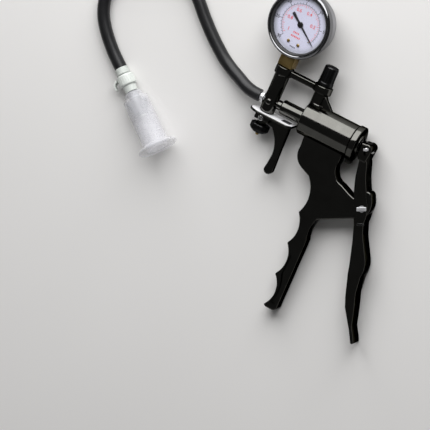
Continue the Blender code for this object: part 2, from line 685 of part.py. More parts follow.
def build_movement(gauge):
    """Plate, bourdon tube and toothed sector behind the dial."""
    plate = box((-8, -12, 2.0), (8, 8, 3.4))
    movement = node("movement_plate", plate, "brass", gauge)
    hole = rod(1.3, 0, 6, steps=12)
    boolean(movement, guide("cut_arbor_hole", hole, gauge))
    bend = [Vector((15.2 * cos(t), 15.2 * sin(t), -1.2)) for t in
            (radians(-66 + 262 * k / 30) for k in range(31))]
    tube("bourdon_tube", bend, 1.9, "brass", gauge, resolution=2)


# --------------------------------------------------------------------------- trigger and release valve
def build_trigger(pump):
    x = COLUMN_X
    pivot = (*TRIGGER_PIVOT, 0)
    outline = [(x - 5.4, -11.0), (x - 5.4, -14.8), (x - 3.0, -15.6), (x + 5.6, -16.8), (x + 9.0, -17.2)]
    outline += arc_through((x + 9.0, -17.2), (x + 15.2, -26.2), (-10.4, -35.0), 6)
    outline += [(-11.0, -41.0)]
    outline += arc_through((-11.8, -45.4), (-8.6, -49.6), (-5.2, -45.6), 8)
    outline += [(-5.9, -29.6), (-6.2, -13.6), (-6.2, -11.0)]
    trigger = node("release_trigger", extruded(outline, -STEM_HALF, STEM_HALF), "black_plastic", pump, pivot)
    bevel(trigger, 0.9)
    plate = guide("add_trigger_plate", trigger_plate(), pump)
    boolean(trigger, plate, "UNION")
    block = box((x - 5.4, -15.4, -6.6), (x + 6.2, -10.6, 6.6))
    boolean(trigger, guide("add_trigger_block", block, pump), "UNION")
    neck = rod(NECK_R + 0.8, -30, 0, axis=(0, 1, 0), at=(x, 0, 0), steps=28)
    seats = rod(1.35, -12, 12, at=pivot, steps=16)
    boolean(trigger, guide("cut_trigger_bore", neck, pump))
    boolean(trigger, guide("cut_trigger_seats", seats, pump))


def trigger_plate():
    """The flat thumb plate, round at the front and cut off at the rear, lying in X and Z."""
    front, rear, half = -39.4, -4.0, PLATE_HALF
    outline = arc((front + half, 0), half, 90, 270, 13)
    outline += [(rear - 3.2, -half), (rear, -half + 3.6), (rear, half - 3.6), (rear - 3.2, half)]
    shape = extruded(outline, -PLATE_THICK / 2, PLATE_THICK / 2)
    lay = Matrix.Translation((0, PLATE_TOP - PLATE_THICK / 2, 0)) @ Matrix.Rotation(radians(-90), 4, "X")
    return moved(shape, lay)


def build_release_valve(pump):
    x, up = COLUMN_X, (0, 1, 0)
    for name, side in (("trigger_screw_left", 1), ("trigger_screw_right", -1)):
        shape = turned([(1.05, 2.6), (1.05, 6.9), (2.2, 6.9), (2.2, 7.6), (1.6, 8.1), (0, 8.2)], steps=16,
                       axis=(0, 0, side), at=(*TRIGGER_PIVOT, 0))
        node(name, shape, "steel", pump)
    nut_top, nut_low = -19.0, -24.4
    outer = 7.2
    profile = [(outer - 1.5, nut_low), (outer, nut_low + 1.6), (outer, nut_top - 0.5), (outer - 0.5, nut_top),
               (NECK_R + GAP, nut_top), (NECK_R + GAP, VALVE_NECK_END - GAP), (1.7, VALVE_NECK_END - GAP),
               (1.7, nut_low - 1.2), (3.6, nut_low - 1.2)]
    nut = turned(profile, steps=36, axis=up, at=(x, 0, 0), closed=True, flute=0.02, flutes=12)
    node("valve_nut", nut, "black_plastic", pump)
    top = COLUMN_FOOT
    profile = [(0, -27.8), (0.9, -27.6), (1.3, -26.9), (1.3, -25.0), (1.1, -24.8), (1.1, top), (0, top)]
    stem = turned(profile, steps=16, axis=up, at=(x, 0, 0))
    node("release_stem", stem, "brass", pump, (x, top, 0))


# --------------------------------------------------------------------------- hose, connector and cup
def hose_route():
    """The hose's own points, from the nozzle to the connector, in the surface's frame."""
    return [(-60.9, 25.2, 11.8), (-66.9, 25.2, 11.7), (-73.9, 26.6, 10.9), (-81.8, 29.2, 8.2),
            (-91.0, 32.5, 5.6), (-99.3, 36.8, 4.75), (-111.4, 45.6, 4.7), (-123.5, 56.0, 4.7),
            (-133.8, 66.0, 4.7), (-144.1, 74.5, 4.7), (-157.1, 79.8, 4.7), (-171.0, 79.0, 4.7),
            (-183.4, 73.2, 4.7), (-192.5, 63.4, 4.7), (-197.3, 50.8, 4.7), (-197.7, 37.4, 4.7),
            (-193.7, 24.9, 4.7), (-186.0, 14.2, 4.7), (-176.0, 4.2, 4.72), (-165.3, -4.2, 5.3)]


def build_hose():
    points = smooth_route(hose_route(), 8.0)
    tube("hose", points, HOSE_R, "hose_rubber", None, resolution=3)


def cup_frame():
    """The cup's frame on the surface: +Z from the hose towards the cup's mouth."""
    start, end = Vector(CUP_AXIS_START), Vector(CUP_AXIS_END)
    axis = (end - start).normalized()
    side = Vector((0, 0, 1)).cross(axis).normalized()
    up = axis.cross(side)
    turn = Matrix((side, up, axis)).transposed().to_4x4()
    return empty("cup_line", None, Matrix.Translation(start * MM) @ turn)


def build_connector(line):
    ribs = [(1.4, 0.3), (4.7, 0.3)]
    for k in range(4):
        low = 0.6 + 1.1 * k
        ribs += [(5.1, low), (5.1, low + 0.6), (4.8, low + 0.75), (4.8, low + 0.95)]
    ribs += [(4.7, 5.2), (1.4, 5.2)]
    node("hose_collar", turned(ribs, steps=20, closed=True), "white_plastic", line)
    body = [(1.4, 5.5), (4.2, 5.5), (6.0, 6.2), (6.4, 7.0), (6.4, 13.6), (5.8, 14.3), (4.9, 14.5),
            (4.7, 19.4), (3.4, 19.4), (3.4, 14.0), (1.4, 14.0)]
    node("connector_body", turned(body, steps=24, closed=True), "white_plastic", line)


def build_latch(line):
    """The bent thumb tab of the quick connector, on the side that faces away from the pump."""
    outline = [(-6.7, 6.6), (-9.2, 8.0), (-10.4, 9.4), (-10.4, 13.6), (-9.4, 13.8), (-9.2, 10.2),
               (-8.2, 9.0), (-6.7, 8.4)]
    shape = extruded(outline, -2.3, 2.3)
    stand = Matrix.Rotation(radians(90), 4, "X")
    node("latch_tab", moved(shape, stand), "white_plastic", line, (-6.7, 0, 7.4))


def build_cup(line):
    length = (Vector(CUP_AXIS_END) - Vector(CUP_AXIS_START)).length
    socket, step, shoulder, rim = 19.8, 19.9, 25.2, length
    wall = 1.3
    body_r = 9.35
    mouth_r = 14.9
    bore_r = body_r - wall
    outside = [(3.9, socket), (5.0, socket), (6.6, step + 0.7), (6.6, shoulder - 0.2),
               (body_r - 0.5, shoulder), (body_r, shoulder + 0.6), (body_r + 0.2, rim - 4.4),
               (mouth_r - 1.4, rim - 3.0), (mouth_r, rim - 1.6), (mouth_r - 0.5, rim - 0.5),
               (mouth_r - 1.1, rim)]
    inside = [(bore_r + 0.6, rim), (bore_r, rim - 0.5), (bore_r, shoulder + wall + 0.6),
              (bore_r - 0.6, shoulder + wall), (3.9, shoulder + wall)]
    node("cup", turned(outside + inside, steps=40, closed=True), "clear_plastic", line)
    valve_at = (0, 0, shoulder)
    sleeve_profile = [(1.6, socket + 1.0), (3.5, socket + 1.0), (3.5, shoulder + 12), (2.9, shoulder + 12.6),
                      (1.6, shoulder + 12.6)]
    node("cup_valve_sleeve", turned(sleeve_profile, steps=16, closed=True), "clear_plastic", line)
    poppet = [(1.2, shoulder - 6.6), (1.2, shoulder + 13.0), (2.6, shoulder + 13.0),
              (2.6, shoulder + 14.2), (0, shoulder + 14.4)]
    node("cup_valve_poppet", turned(poppet, steps=16), "white_plastic", line, valve_at)


# --------------------------------------------------------------------------- the whole pump
def build():
    clear_scene()
    rest = Matrix.Translation(Vector(PUMP_PLACE) * MM)
    rest @= Matrix.Rotation(LEAN_X, 4, "X") @ Matrix.Rotation(LEAN_Y, 4, "Y")
    pump = empty("pump", None, rest)
    build_frame(pump)
    build_cylinder(pump)
    build_piston(pump)
    build_lever(pump)
    build_pivot(pump)
    build_column(pump)
    build_port_tube(pump)
    build_nozzle(pump)
    build_bridge(pump)
    build_knob(pump)
    gauge = build_gauge(pump)
    build_needle(gauge)
    gauge_screws(gauge)
    build_movement(gauge)
    build_trigger(pump)
    build_release_valve(pump)
    build_hose()
    line = cup_frame()
    build_connector(line)
    build_latch(line)
    build_cup(line)


build()
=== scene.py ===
"""Looks of the hand vacuum pump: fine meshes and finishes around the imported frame.

The pump's own frame is the one its parts were modelled in: +X along the cylinder to the rear,
+Y up the front column, +Z to its left side. Sizes are in millimetres until a mesh is made.
"""

from math import atan2, cos, hypot, pi, radians, sin, tau

import bmesh
import bpy
from mathutils import Matrix, Vector


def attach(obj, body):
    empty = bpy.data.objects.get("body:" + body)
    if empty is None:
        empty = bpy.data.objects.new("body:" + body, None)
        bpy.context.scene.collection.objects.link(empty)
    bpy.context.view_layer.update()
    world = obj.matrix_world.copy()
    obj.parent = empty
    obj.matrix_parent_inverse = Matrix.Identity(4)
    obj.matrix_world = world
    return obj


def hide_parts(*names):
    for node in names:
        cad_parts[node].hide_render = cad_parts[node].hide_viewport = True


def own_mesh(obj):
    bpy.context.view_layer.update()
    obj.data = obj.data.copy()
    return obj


MM = 0.001
GAP = 0.3  # room left between neighbouring pieces
TINY = 1e-6

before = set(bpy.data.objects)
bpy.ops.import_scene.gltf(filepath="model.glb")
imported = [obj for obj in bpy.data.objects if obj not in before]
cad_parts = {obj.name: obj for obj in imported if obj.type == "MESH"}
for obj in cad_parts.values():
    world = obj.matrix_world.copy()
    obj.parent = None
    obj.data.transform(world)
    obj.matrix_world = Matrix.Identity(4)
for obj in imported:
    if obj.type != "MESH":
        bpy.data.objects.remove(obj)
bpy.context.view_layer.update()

# ------------ the pump's measures
PUMP_PLACE = Vector((-24.36, 25.95, 12.57))
PUMP = (Matrix.Translation(PUMP_PLACE * MM) @ Matrix.Rotation(radians(3.05), 4, "X")
        @ Matrix.Rotation(radians(-1.13), 4, "Y"))
BARREL_R, BARREL_LENGTH, BARREL_BORE_R = 12.6, 40.4, 10.8
CAP_R, CAP_LENGTH, ROD_R = 13.4, 4.8, 3.0
COLUMN_X, COLUMN_R, COLUMN_FOOT, COLUMN_TOP = -27.6, 5.5, -8.8, 20.1
PORT_Y, PORT_R, PORT_FRONT, NECK_R, VALVE_NECK_END = -0.7, 5.5, -18.2, 3.6, -23.0
POST_X, POST_R, RING_R, COLLAR_R = 4.0, 4.8, 7.0, 6.8
BRIDGE_LOW, BRIDGE_HIGH, BRIDGE_HALF = 21.6, 26.0, 3.4
KNOB_LOW, KNOB_HIGH = 27.4, 42.2
GAUGE_Y, GAUGE_TURN = 60.5, radians(-6.0)
BEZEL_R, CASE_R, CASE_BACK, CASE_FRONT, BEZEL_BACK = 24.7, 22.6, -7.0, 8.0, 5.2
DIAL_FACE, DIAL_R, NEEDLE_REST = 7.4, 22.0, radians(-34.0)
FRAME_HALF, PIVOT, PIVOT_R = 6.0, (67.8, -39.3), 2.4
LEVER_HALF, LEVER_HEAD_HALF, CHANNEL_HALF, CHANNEL_DEPTH = 7.4, 8.0, 6.3, 15.5
WRIST_PIN, WRIST_R, ROD_END_HALF = (53.2, 1.0), 1.3, 5.9
TRIGGER_PIVOT, STEM_HALF = (COLUMN_X, -13.6), 3.2
PLATE_TOP, PLATE_THICK, PLATE_HALF = -9.8, 1.5, 9.4
PIN_TURN, SCREW_SEAT_R = radians(27), 1.35
GAUGE = (PUMP @ Matrix.Translation(Vector((COLUMN_X, GAUGE_Y, 0)) * MM)
         @ Matrix.Rotation(GAUGE_TURN, 4, "Y"))

HOSE_R, HOSE_STEP = 4.65, 3.0
HOSE_ROUTE = [(-60.9, 25.2, 11.8), (-66.9, 25.2, 11.7), (-73.9, 26.6, 10.9), (-81.8, 29.2, 8.2),
              (-91.0, 32.5, 5.6), (-99.3, 36.8, 4.75), (-111.4, 45.6, 4.7), (-123.5, 56.0, 4.7),
              (-133.8, 66.0, 4.7), (-144.1, 74.5, 4.7), (-157.1, 79.8, 4.7), (-171.0, 79.0, 4.7),
              (-183.4, 73.2, 4.7), (-192.5, 63.4, 4.7), (-197.3, 50.8, 4.7), (-197.7, 37.4, 4.7),
              (-193.7, 24.9, 4.7), (-186.0, 14.2, 4.7), (-176.0, 4.2, 4.72), (-165.3, -4.2, 5.3)]
CUP_START, CUP_END = Vector((-165.1, -4.3, 5.4)), Vector((-112.7, -42.7, 15.0))


def cup_line():
    """The frame of the connector and the cup: +Z from the hose towards the cup's mouth."""
    axis = (CUP_END - CUP_START).normalized()
    side = Vector((0, 0, 1)).cross(axis).normalized()
    turn = Matrix((side, axis.cross(side), axis)).transposed().to_4x4()
    return Matrix.Translation(CUP_START * MM) @ turn


CUP = cup_line()
CUP_LENGTH = (CUP_END - CUP_START).length


# ------------ camera
def make_camera():
    """A long lens above the pump's left side, turned as the picture is."""
    back, right = Vector((0.2315, 0.1895, 0.9542)).normalized(), Vector((0.8663, 0.4070, -0.2907))
    right = (right - back * right.dot(back)).normalized()
    up = back.cross(right)
    aim, distance, height = Vector((-0.0560, -0.0687, 0.0069)), 5.0, 0.3096
    data = bpy.data.cameras.new("camera")
    data.lens = data.sensor_width / 2 / (height / 2 / distance)
    turn = Matrix((right, up, back)).transposed().to_4x4()
    place = Matrix.Translation(aim + back * distance) @ turn
    bpy.context.scene.camera = linked("camera", data, place)


# ------------ shapes
def direction_matrix(axis, at):
    """Stands the Z axis along an axis, with its foot at a place."""
    turn = Vector((0, 0, 1)).rotation_difference(Vector(axis)).to_matrix().to_4x4()
    return Matrix.Translation(Vector(at)) @ turn


def rounded(profile, radius, count=3, closed=True):
    """A profile with each clear corner replaced by a short arc-like curve."""
    near_flat, share = radians(160), 0.45
    result = []
    size = len(profile)
    for k, point in enumerate(profile):
        ends = not closed and k in (0, size - 1)
        before, after = Vector(profile[k - 1]), Vector(profile[(k + 1) % size])
        here = Vector(point)
        a, b = before - here, after - here
        if ends or min(a.length, b.length, here.x) < TINY or a.angle(b) > near_flat:
            result.append(tuple(here))
            continue
        reach = min(radius, a.length * share, b.length * share)
        start, end = here + a.normalized() * reach, here + b.normalized() * reach
        for step in range(count + 1):
            t = step / count
            result.append(tuple(start * (1 - t) ** 2 + here * 2 * t * (1 - t) + end * t ** 2))
    return result


def turned(profile, steps=96, axis=(0, 0, 1), at=(0, 0, 0), closed=False, flute=0.0, flutes=0):
    """A solid of revolution from (radius, height) points; a closed profile makes a ring."""
    bm = bmesh.new()
    rings = []
    for radius, height in profile:
        if radius < TINY:
            rings.append([bm.verts.new((0, 0, height))])
            continue
        ring = []
        for k in range(steps):
            t = tau * k / steps
            r = radius * (1 + flute * cos(flutes * t))
            ring.append(bm.verts.new((r * cos(t), r * sin(t), height)))
        rings.append(ring)
    pairs = list(zip(rings, rings[1:]))
    if closed:
        pairs.append((rings[-1], rings[0]))
    for low, high in pairs:
        for k in range(steps):
            n = (k + 1) % steps
            corners = [low[k % len(low)], low[n % len(low)], high[n % len(high)], high[k % len(high)]]
            corners = list(dict.fromkeys(corners))
            if len(corners) > 2:
                bm.faces.new(corners)
    if not closed:
        for ring in (rings[0], rings[-1]):
            if len(ring) > 1:
                bm.faces.new(ring)
    bmesh.ops.transform(bm, matrix=direction_matrix(axis, at), verts=bm.verts)
    return bm


def rod(radius, low, high, chamfer=0.0, **places):
    if not chamfer:
        return turned([(radius, low), (radius, high)], **places)
    inner = radius - chamfer
    profile = [(inner, low), (radius, low + chamfer), (radius, high - chamfer), (inner, high)]
    return turned(rounded([(0, low)] + profile + [(0, high)], chamfer * 0.7, closed=False), **places)


def extruded(outline, low, high):
    bm = bmesh.new()
    face = bm.faces.new([bm.verts.new((x, y, low)) for x, y in outline])
    lifted = bmesh.ops.extrude_face_region(bm, geom=[face])["geom"]
    verts = [v for v in lifted if isinstance(v, bmesh.types.BMVert)]
    bmesh.ops.translate(bm, vec=(0, 0, high - low), verts=verts)
    return bm


def box(low, high):
    bm = bmesh.new()
    bmesh.ops.create_cube(bm, size=1)
    low, high = Vector(low), Vector(high)
    bmesh.ops.scale(bm, vec=high - low, verts=bm.verts)
    bmesh.ops.translate(bm, vec=(low + high) / 2, verts=bm.verts)
    return bm


def arc(center, radius, start, end, count):
    steps = [radians(start + (end - start) * k / (count - 1)) for k in range(count)]
    return [(center[0] + radius * cos(t), center[1] + radius * sin(t)) for t in steps]


def arc_through(a, b, c, count):
    """Points on the circle through three points, from the first to the last, without the first."""
    ax, ay, bx, by, cx, cy = *a, *b, *c
    d = 2 * (ax * (by - cy) + bx * (cy - ay) + cx * (ay - by))
    sa, sb, sc = ax * ax + ay * ay, bx * bx + by * by, cx * cx + cy * cy
    ux = (sa * (by - cy) + sb * (cy - ay) + sc * (ay - by)) / d
    uy = (sa * (cx - bx) + sb * (ax - cx) + sc * (bx - ax)) / d
    start, through, end = (atan2(y - uy, x - ux) for x, y in (a, b, c))
    sweep = (end - start) % tau
    if (through - start) % tau > sweep:
        sweep -= tau
    radius = hypot(ax - ux, ay - uy)
    angles = [start + sweep * k / count for k in range(1, count + 1)]
    return [(ux + radius * cos(t), uy + radius * sin(t)) for t in angles]


def smooth_route(points, step, closeness=24):
    """Evenly spaced points on a Catmull-Rom curve through the route's own points."""
    knots = [2 * Vector(points[0]) - Vector(points[1])]
    knots += [Vector(p) for p in points]
    knots.append(2 * knots[-1] - knots[-2])
    fine = []
    for a, b, c, d in zip(knots, knots[1:], knots[2:], knots[3:]):
        for k in range(closeness):
            t = k / closeness
            fine.append(0.5 * (2 * b + (c - a) * t + (2 * a - 5 * b + 4 * c - d) * t * t
                               + (3 * b - a - 3 * c + d) * t ** 3))
    fine.append(knots[-2])
    length = sum((q - p).length for p, q in zip(fine, fine[1:]))
    count = round(length / step)
    even, travelled, wanted = [fine[0]], 0.0, 1
    for p, q in zip(fine, fine[1:]):
        piece = (q - p).length
        while wanted < count and travelled + piece >= wanted * length / count:
            even.append(p.lerp(q, (wanted * length / count - travelled) / piece))
            wanted += 1
        travelled += piece
    even.append(fine[-1])
    return even, length


# ------------ objects
def linked(name, data, place=None):
    """A new object in the scene, at its place if one is given."""
    made = bpy.data.objects.new(name, data)
    bpy.context.scene.collection.objects.link(made)
    if place is not None:
        made.matrix_world = place
    return made


def shown_mesh(target):
    """The mesh an object shows, with its modifiers or its curve's thickness worked out."""
    bpy.context.view_layer.update()
    graph = bpy.context.evaluated_depsgraph_get()
    return bpy.data.meshes.new_from_object(target.evaluated_get(graph))


def round_line(name, points, radius, resolution):
    """A curve of round section along points in millimetres."""
    curve = bpy.data.curves.new(name, "CURVE")
    curve.dimensions = "3D"
    curve.bevel_depth = radius * MM
    curve.bevel_resolution = resolution
    curve.use_fill_caps = True
    spline = curve.splines.new("POLY")
    spline.points.add(len(points) - 1)
    for place, point in zip(spline.points, points):
        place.co = (*(point * MM), 1)
    return curve


def raw(name, bm, place=PUMP):
    """An object from a bmesh in millimetres that stands in one of the pump's frames."""
    bmesh.ops.recalc_face_normals(bm, faces=bm.faces)
    bmesh.ops.scale(bm, vec=Vector((MM, MM, MM)), verts=bm.verts)
    mesh = bpy.data.meshes.new(name)
    bm.to_mesh(mesh)
    bm.free()
    return linked(name, mesh, place)


def bevel(target, width, segments=3, angle=55):
    made = target.modifiers.new("edges", "BEVEL")
    made.width = width * MM
    made.segments = segments
    made.limit_method = "ANGLE"
    made.angle_limit = radians(angle)
    made.harden_normals = False


def settle(target):
    """Its modifiers are made part of its mesh."""
    mesh = shown_mesh(target)
    target.modifiers.clear()
    target.data = mesh


def combine(target, tool, operation="DIFFERENCE"):
    """Cuts a tool away from an object, or adds it, and removes the tool."""
    made = target.modifiers.new("shape", "BOOLEAN")
    made.operation = operation
    made.object = tool
    made.solver = "EXACT"
    settle(target)
    bpy.data.objects.remove(tool)


def shaped(name, bm, adds=(), cuts=(), place=PUMP, edge=0.0, segments=3):
    """A piece with its edges rounded, then other shapes added to it and cut from it."""
    made = raw(name, bm, place)
    if edge:
        bevel(made, edge, segments)
        settle(made)
    for shape, rounding in adds:
        tool = raw("tool", shape, place)
        if rounding:
            bevel(tool, rounding)
            settle(tool)
        combine(made, tool, "UNION")
    for shape in cuts:
        combine(made, raw("tool", shape, place))
    return made


def finish_piece(made, material, body, slot, *nodes, sharp=38):
    """Its finish, the body it rides on, its slot (not used) and the CAD nodes it stands in for."""
    made.data.materials.clear()
    made.data.materials.append(material)
    if made.type == "MESH":
        made.data.shade_smooth()
        made.data.set_sharp_from_angle(angle=radians(sharp))
    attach(made, body)
    if nodes:
        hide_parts(*nodes)
    return made


# ------------ materials
def shader_of(name):
    made = bpy.data.materials.new(name)
    made.use_nodes = True
    return made, made.node_tree, made.node_tree.nodes["Principled BSDF"]


def noise(tree, scale, detail=4.0, rough=0.55, stretch=(1, 1, 1)):
    """Noise over the object's own coordinates; the scale is in cells for each metre."""
    place = tree.nodes.new("ShaderNodeTexCoord")
    mapping = tree.nodes.new("ShaderNodeMapping")
    mapping.inputs["Scale"].default_value = stretch
    made = tree.nodes.new("ShaderNodeTexNoise")
    made.inputs["Scale"].default_value = scale
    made.inputs["Detail"].default_value = detail
    made.inputs["Roughness"].default_value = rough
    tree.links.new(place.outputs["Object"], mapping.inputs["Vector"])
    tree.links.new(mapping.outputs["Vector"], made.inputs["Vector"])
    return made.outputs["Fac"]


def ramp(tree, source, stops):
    made = tree.nodes.new("ShaderNodeValToRGB")
    while len(made.color_ramp.elements) < len(stops):
        made.color_ramp.elements.new(0.5)
    for element, (position, color) in zip(made.color_ramp.elements, stops):
        element.position = position
        element.color = (*color, 1)
    tree.links.new(source, made.inputs["Fac"])
    return made.outputs["Color"]


def spread(tree, source, low, high, start=0.3, end=0.7):
    made = tree.nodes.new("ShaderNodeMapRange")
    made.inputs["From Min"].default_value = start
    made.inputs["From Max"].default_value = end
    made.inputs["To Min"].default_value = low
    made.inputs["To Max"].default_value = high
    tree.links.new(source, made.inputs["Value"])
    return made.outputs["Result"]


def bump(tree, shader, source, strength, depth):
    made = tree.nodes.new("ShaderNodeBump")
    made.inputs["Strength"].default_value = strength
    made.inputs["Distance"].default_value = depth * MM
    tree.links.new(source, made.inputs["Height"])
    tree.links.new(made.outputs["Normal"], shader.inputs["Normal"])


def surface(name, dark, light, rough, metal=0.0, grain=900, patch=120, relief=(0.2, 0.02),
            stretch=(1, 1, 1), **sockets):
    """A finish with cloudy colour, uneven roughness and a fine grain that stands out a little."""
    made, tree, shader = shader_of(name)
    shader.inputs["Metallic"].default_value = metal
    for socket, value in sockets.items():
        shader.inputs[socket.replace("_", " ")].default_value = value
    clouds = noise(tree, patch, 5, 0.6)
    fine = noise(tree, grain, 3, 0.6, stretch)
    tree.links.new(ramp(tree, clouds, [(0.32, dark), (0.68, light)]), shader.inputs["Base Color"])
    tree.links.new(spread(tree, fine, *rough), shader.inputs["Roughness"])
    bump(tree, shader, fine, *relief)
    return made


def dial_paint():
    """Pale bluish enamel that turns grey towards its edge: the grey is painted shade from the bezel round
    it.
    """
    made, tree, shader = shader_of("dial_paint")
    place = tree.nodes.new("ShaderNodeTexCoord")
    reach = tree.nodes.new("ShaderNodeVectorMath")
    reach.operation = "LENGTH"
    tree.links.new(place.outputs["Object"], reach.inputs[0])
    radius = spread(tree, reach.outputs["Value"], 0, 1, 0, DIAL_R * MM)
    # the grey past 0.84 of the radius is painted shade from the bezel
    rings = ramp(tree, radius, [(0.0, (0.72, 0.72, 0.86)), (0.84, (0.72, 0.72, 0.85)),
                                (0.95, (0.52, 0.53, 0.60))])
    tree.links.new(rings, shader.inputs["Base Color"])
    fine = noise(tree, 2600, 3)
    tree.links.new(spread(tree, fine, 0.38, 0.52), shader.inputs["Roughness"])
    bump(tree, shader, fine, 0.15, 0.01)
    return made


def window_glass():
    """Clear glass that mirrors what is round it more where it is seen at a low angle."""
    made, tree, shader = shader_of("window_glass")
    tree.nodes.remove(shader)
    clear, gloss, mix, edge = (tree.nodes.new("ShaderNode" + kind) for kind in
                               ("BsdfTransparent", "BsdfGlossy", "MixShader", "LayerWeight"))
    clear.inputs["Color"].default_value = (0.99, 0.99, 1, 1)
    mirror = ramp(tree, edge.outputs["Facing"],
                  [(0.0, (0.02,) * 3), (0.7, (0.06,) * 3), (1.0, (0.7,) * 3)])
    smear = spread(tree, noise(tree, 400, 3), 0.015, 0.05)
    tree.links.new(smear, gloss.inputs["Roughness"])
    tree.links.new(mirror, mix.inputs["Fac"])
    tree.links.new(clear.outputs["BSDF"], mix.inputs[1])
    tree.links.new(gloss.outputs["BSDF"], mix.inputs[2])
    tree.links.new(mix.outputs["Shader"], tree.nodes["Material Output"].inputs["Surface"])
    return made


def frosted(name, color, rough, cover, grain=1500):
    """Cloudy moulded plastic that lets what lies behind it show; cover is how much it hides."""
    made, tree, shader = shader_of(name)
    clouds = noise(tree, 150, 4)
    pale = tuple(min(1, c * 1.06) for c in color)
    tree.links.new(ramp(tree, clouds, [(0.3, color), (0.7, pale)]), shader.inputs["Base Color"])
    fine = noise(tree, grain, 3)
    tree.links.new(spread(tree, fine, *rough), shader.inputs["Roughness"])
    shader.inputs["Alpha"].default_value = cover
    shader.inputs["IOR"].default_value = 1.46
    bump(tree, shader, fine, 0.12, 0.01)
    return made


ENAMEL = surface("black_enamel", (0.080, 0.079, 0.073), (0.096, 0.095, 0.088), (0.07, 0.15), 1.0,
                 grain=700, relief=(0.10, 0.010), Specular_Tint=(0.20, 0.20, 0.20, 1))
# Pale finish for a sheet on the trigger plate's top: painted highlight for the light the black plate
# reflects.
PLATE_HIGHLIGHT = surface("painted_plate_highlight", (0.86, 0.86, 0.88), (0.93, 0.93, 0.95), (0.32, 0.45), 0.1, grain=1300,
                stretch=(0.3, 1, 1), relief=(0.15, 0.01))
PLASTIC = surface("black_moulding", (0.030, 0.030, 0.031), (0.042, 0.042, 0.043), (0.26, 0.36), 1.0,
                  grain=2600, relief=(0.2, 0.012), Specular_Tint=(0.35, 0.35, 0.35, 1))
STEEL = surface("bright_steel", (0.55, 0.55, 0.55), (0.72, 0.72, 0.71), (0.12, 0.26), 1.0, grain=900,
                stretch=(0.12, 1, 1), relief=(0.15, 0.01))
STEEL_DARK = surface("dark_steel", (0.10, 0.10, 0.10), (0.16, 0.16, 0.16), (0.2, 0.3), 1.0, grain=900)
CHROME = surface("chrome_plate", (0.40, 0.40, 0.42), (0.48, 0.48, 0.50), (0.05, 0.11), 1.0, grain=1500,
                 relief=(0.05, 0.005), Specular_Tint=(0.5, 0.5, 0.5, 1))
# The bezel's chrome, darker than the case's chrome: painted shade for the dark it mirrors.
SHADED_CHROME = surface("rim_chrome_painted_dark", (0.20, 0.20, 0.21), (0.26, 0.26, 0.27), (0.06, 0.12), 1.0, grain=1500,
                      relief=(0.05, 0.005), Specular_Tint=(0.6, 0.6, 0.6, 1))
BRASS = surface("machined_brass", (0.30, 0.20, 0.07), (0.46, 0.33, 0.13), (0.3, 0.5), 1.0, grain=1600,
                stretch=(1, 0.25, 1), relief=(0.3, 0.02))
RUBBER = surface("matt_rubber", (0.012, 0.012, 0.013), (0.024, 0.024, 0.026), (0.5, 0.7), grain=3000,
                 relief=(0.4, 0.03))
HOSE_SKIN = surface("hose_silicone", (0.008, 0.008, 0.009), (0.014, 0.014, 0.015), (0.30, 0.42),
                    grain=1800, relief=(0.2, 0.015), IOR=1.4)
WHITE = surface("white_moulding", (0.56, 0.59, 0.56), (0.64, 0.67, 0.64), (0.3, 0.42), grain=2200,
                relief=(0.2, 0.015))
BLACK_INK = surface("black_ink", (0.010, 0.010, 0.014), (0.025, 0.025, 0.03), (0.5, 0.6), grain=4000)
RED_INK = surface("red_ink", (0.78, 0.09, 0.10), (0.88, 0.13, 0.13), (0.5, 0.6), grain=4000)
# A paler, partly diffuse copy of steel that paints highlight: on the pin heads it brightens real steel, on
# the nozzle it covers black paint.
STEEL_WITH_PAINTED_HIGHLIGHT = surface("pale_metal_painted_highlight", (0.70, 0.70, 0.72), (0.82, 0.82, 0.84), (0.25, 0.4), 0.7,
                     grain=3000)
DIAL_PAINT_AND_RIM_SHADE = dial_paint()
GLASS = window_glass()
FROST = frosted("frosted_cup", (0.78, 0.78, 0.82), (0.22, 0.34), 0.30)
SLEEVE = frosted("cloudy_sleeve", (0.16, 0.17, 0.18), (0.16, 0.26), 0.90)


# ------------ body casting
def frame_outline():
    """Side view of the grip and of the web with the lever's eye, from the barrel's front."""
    ridges = [(25.5, -63.1), (26.9, -86.9), (27.9, -111.3), (29.2, -135.4)]
    grooves = [(30.3, -75.2), (31.9, -99.6), (33.4, -124.2)]
    outline = [(6.4, -9.0), (7.0, -20.0)]
    outline += arc_through((7.0, -20.0), (9.4, -29.4), (14.5, -33.2), 14)
    outline += [(21.6, -36.0), (24.0, -39.0)]
    outline += arc_through((24.0, -39.0), (28.0, -51.0), ridges[0], 18)
    for ridge, groove, following in zip(ridges, grooves, ridges[1:]):
        outline += arc_through(ridge, groove, following, 22)
    outline += [(31.4, -136.6), (36.8, -136.6)]
    outline += arc_through((36.8, -136.6), (38.9, -135.4), (39.4, -132.6), 8)
    outline += [(39.3, -80.0)]
    outline += arc_through((39.3, -80.0), (38.0, -71.0), (40.6, -61.7), 14)
    outline += [(69.6, -46.2), (71.4, -44.6)]
    outline += arc_through((71.4, -44.6), (73.0, -35.6), (70.6, -29.6), 14)
    outline += arc_through((70.6, -29.6), (67.0, -26.4), (63.8, -27.8), 12)
    outline += [(58.6, -35.4), (54.5, -34.2), (46.7, -30.9)]
    outline += arc_through((46.7, -30.9), (38.9, -25.8), (37.8, -18.0), 14)
    outline += [(37.8, -9.0)]
    return outline


def grip_recess(side):
    outline = arc_through((31.9, -108.0), (35.2, -121.0), (33.6, -131.6), 16)
    outline += [(37.0, -131.6), (37.2, -94.0), (33.2, -94.0)]
    return extruded(outline, *sorted((side * (FRAME_HALF - 1.6), side * (FRAME_HALF + 2))))


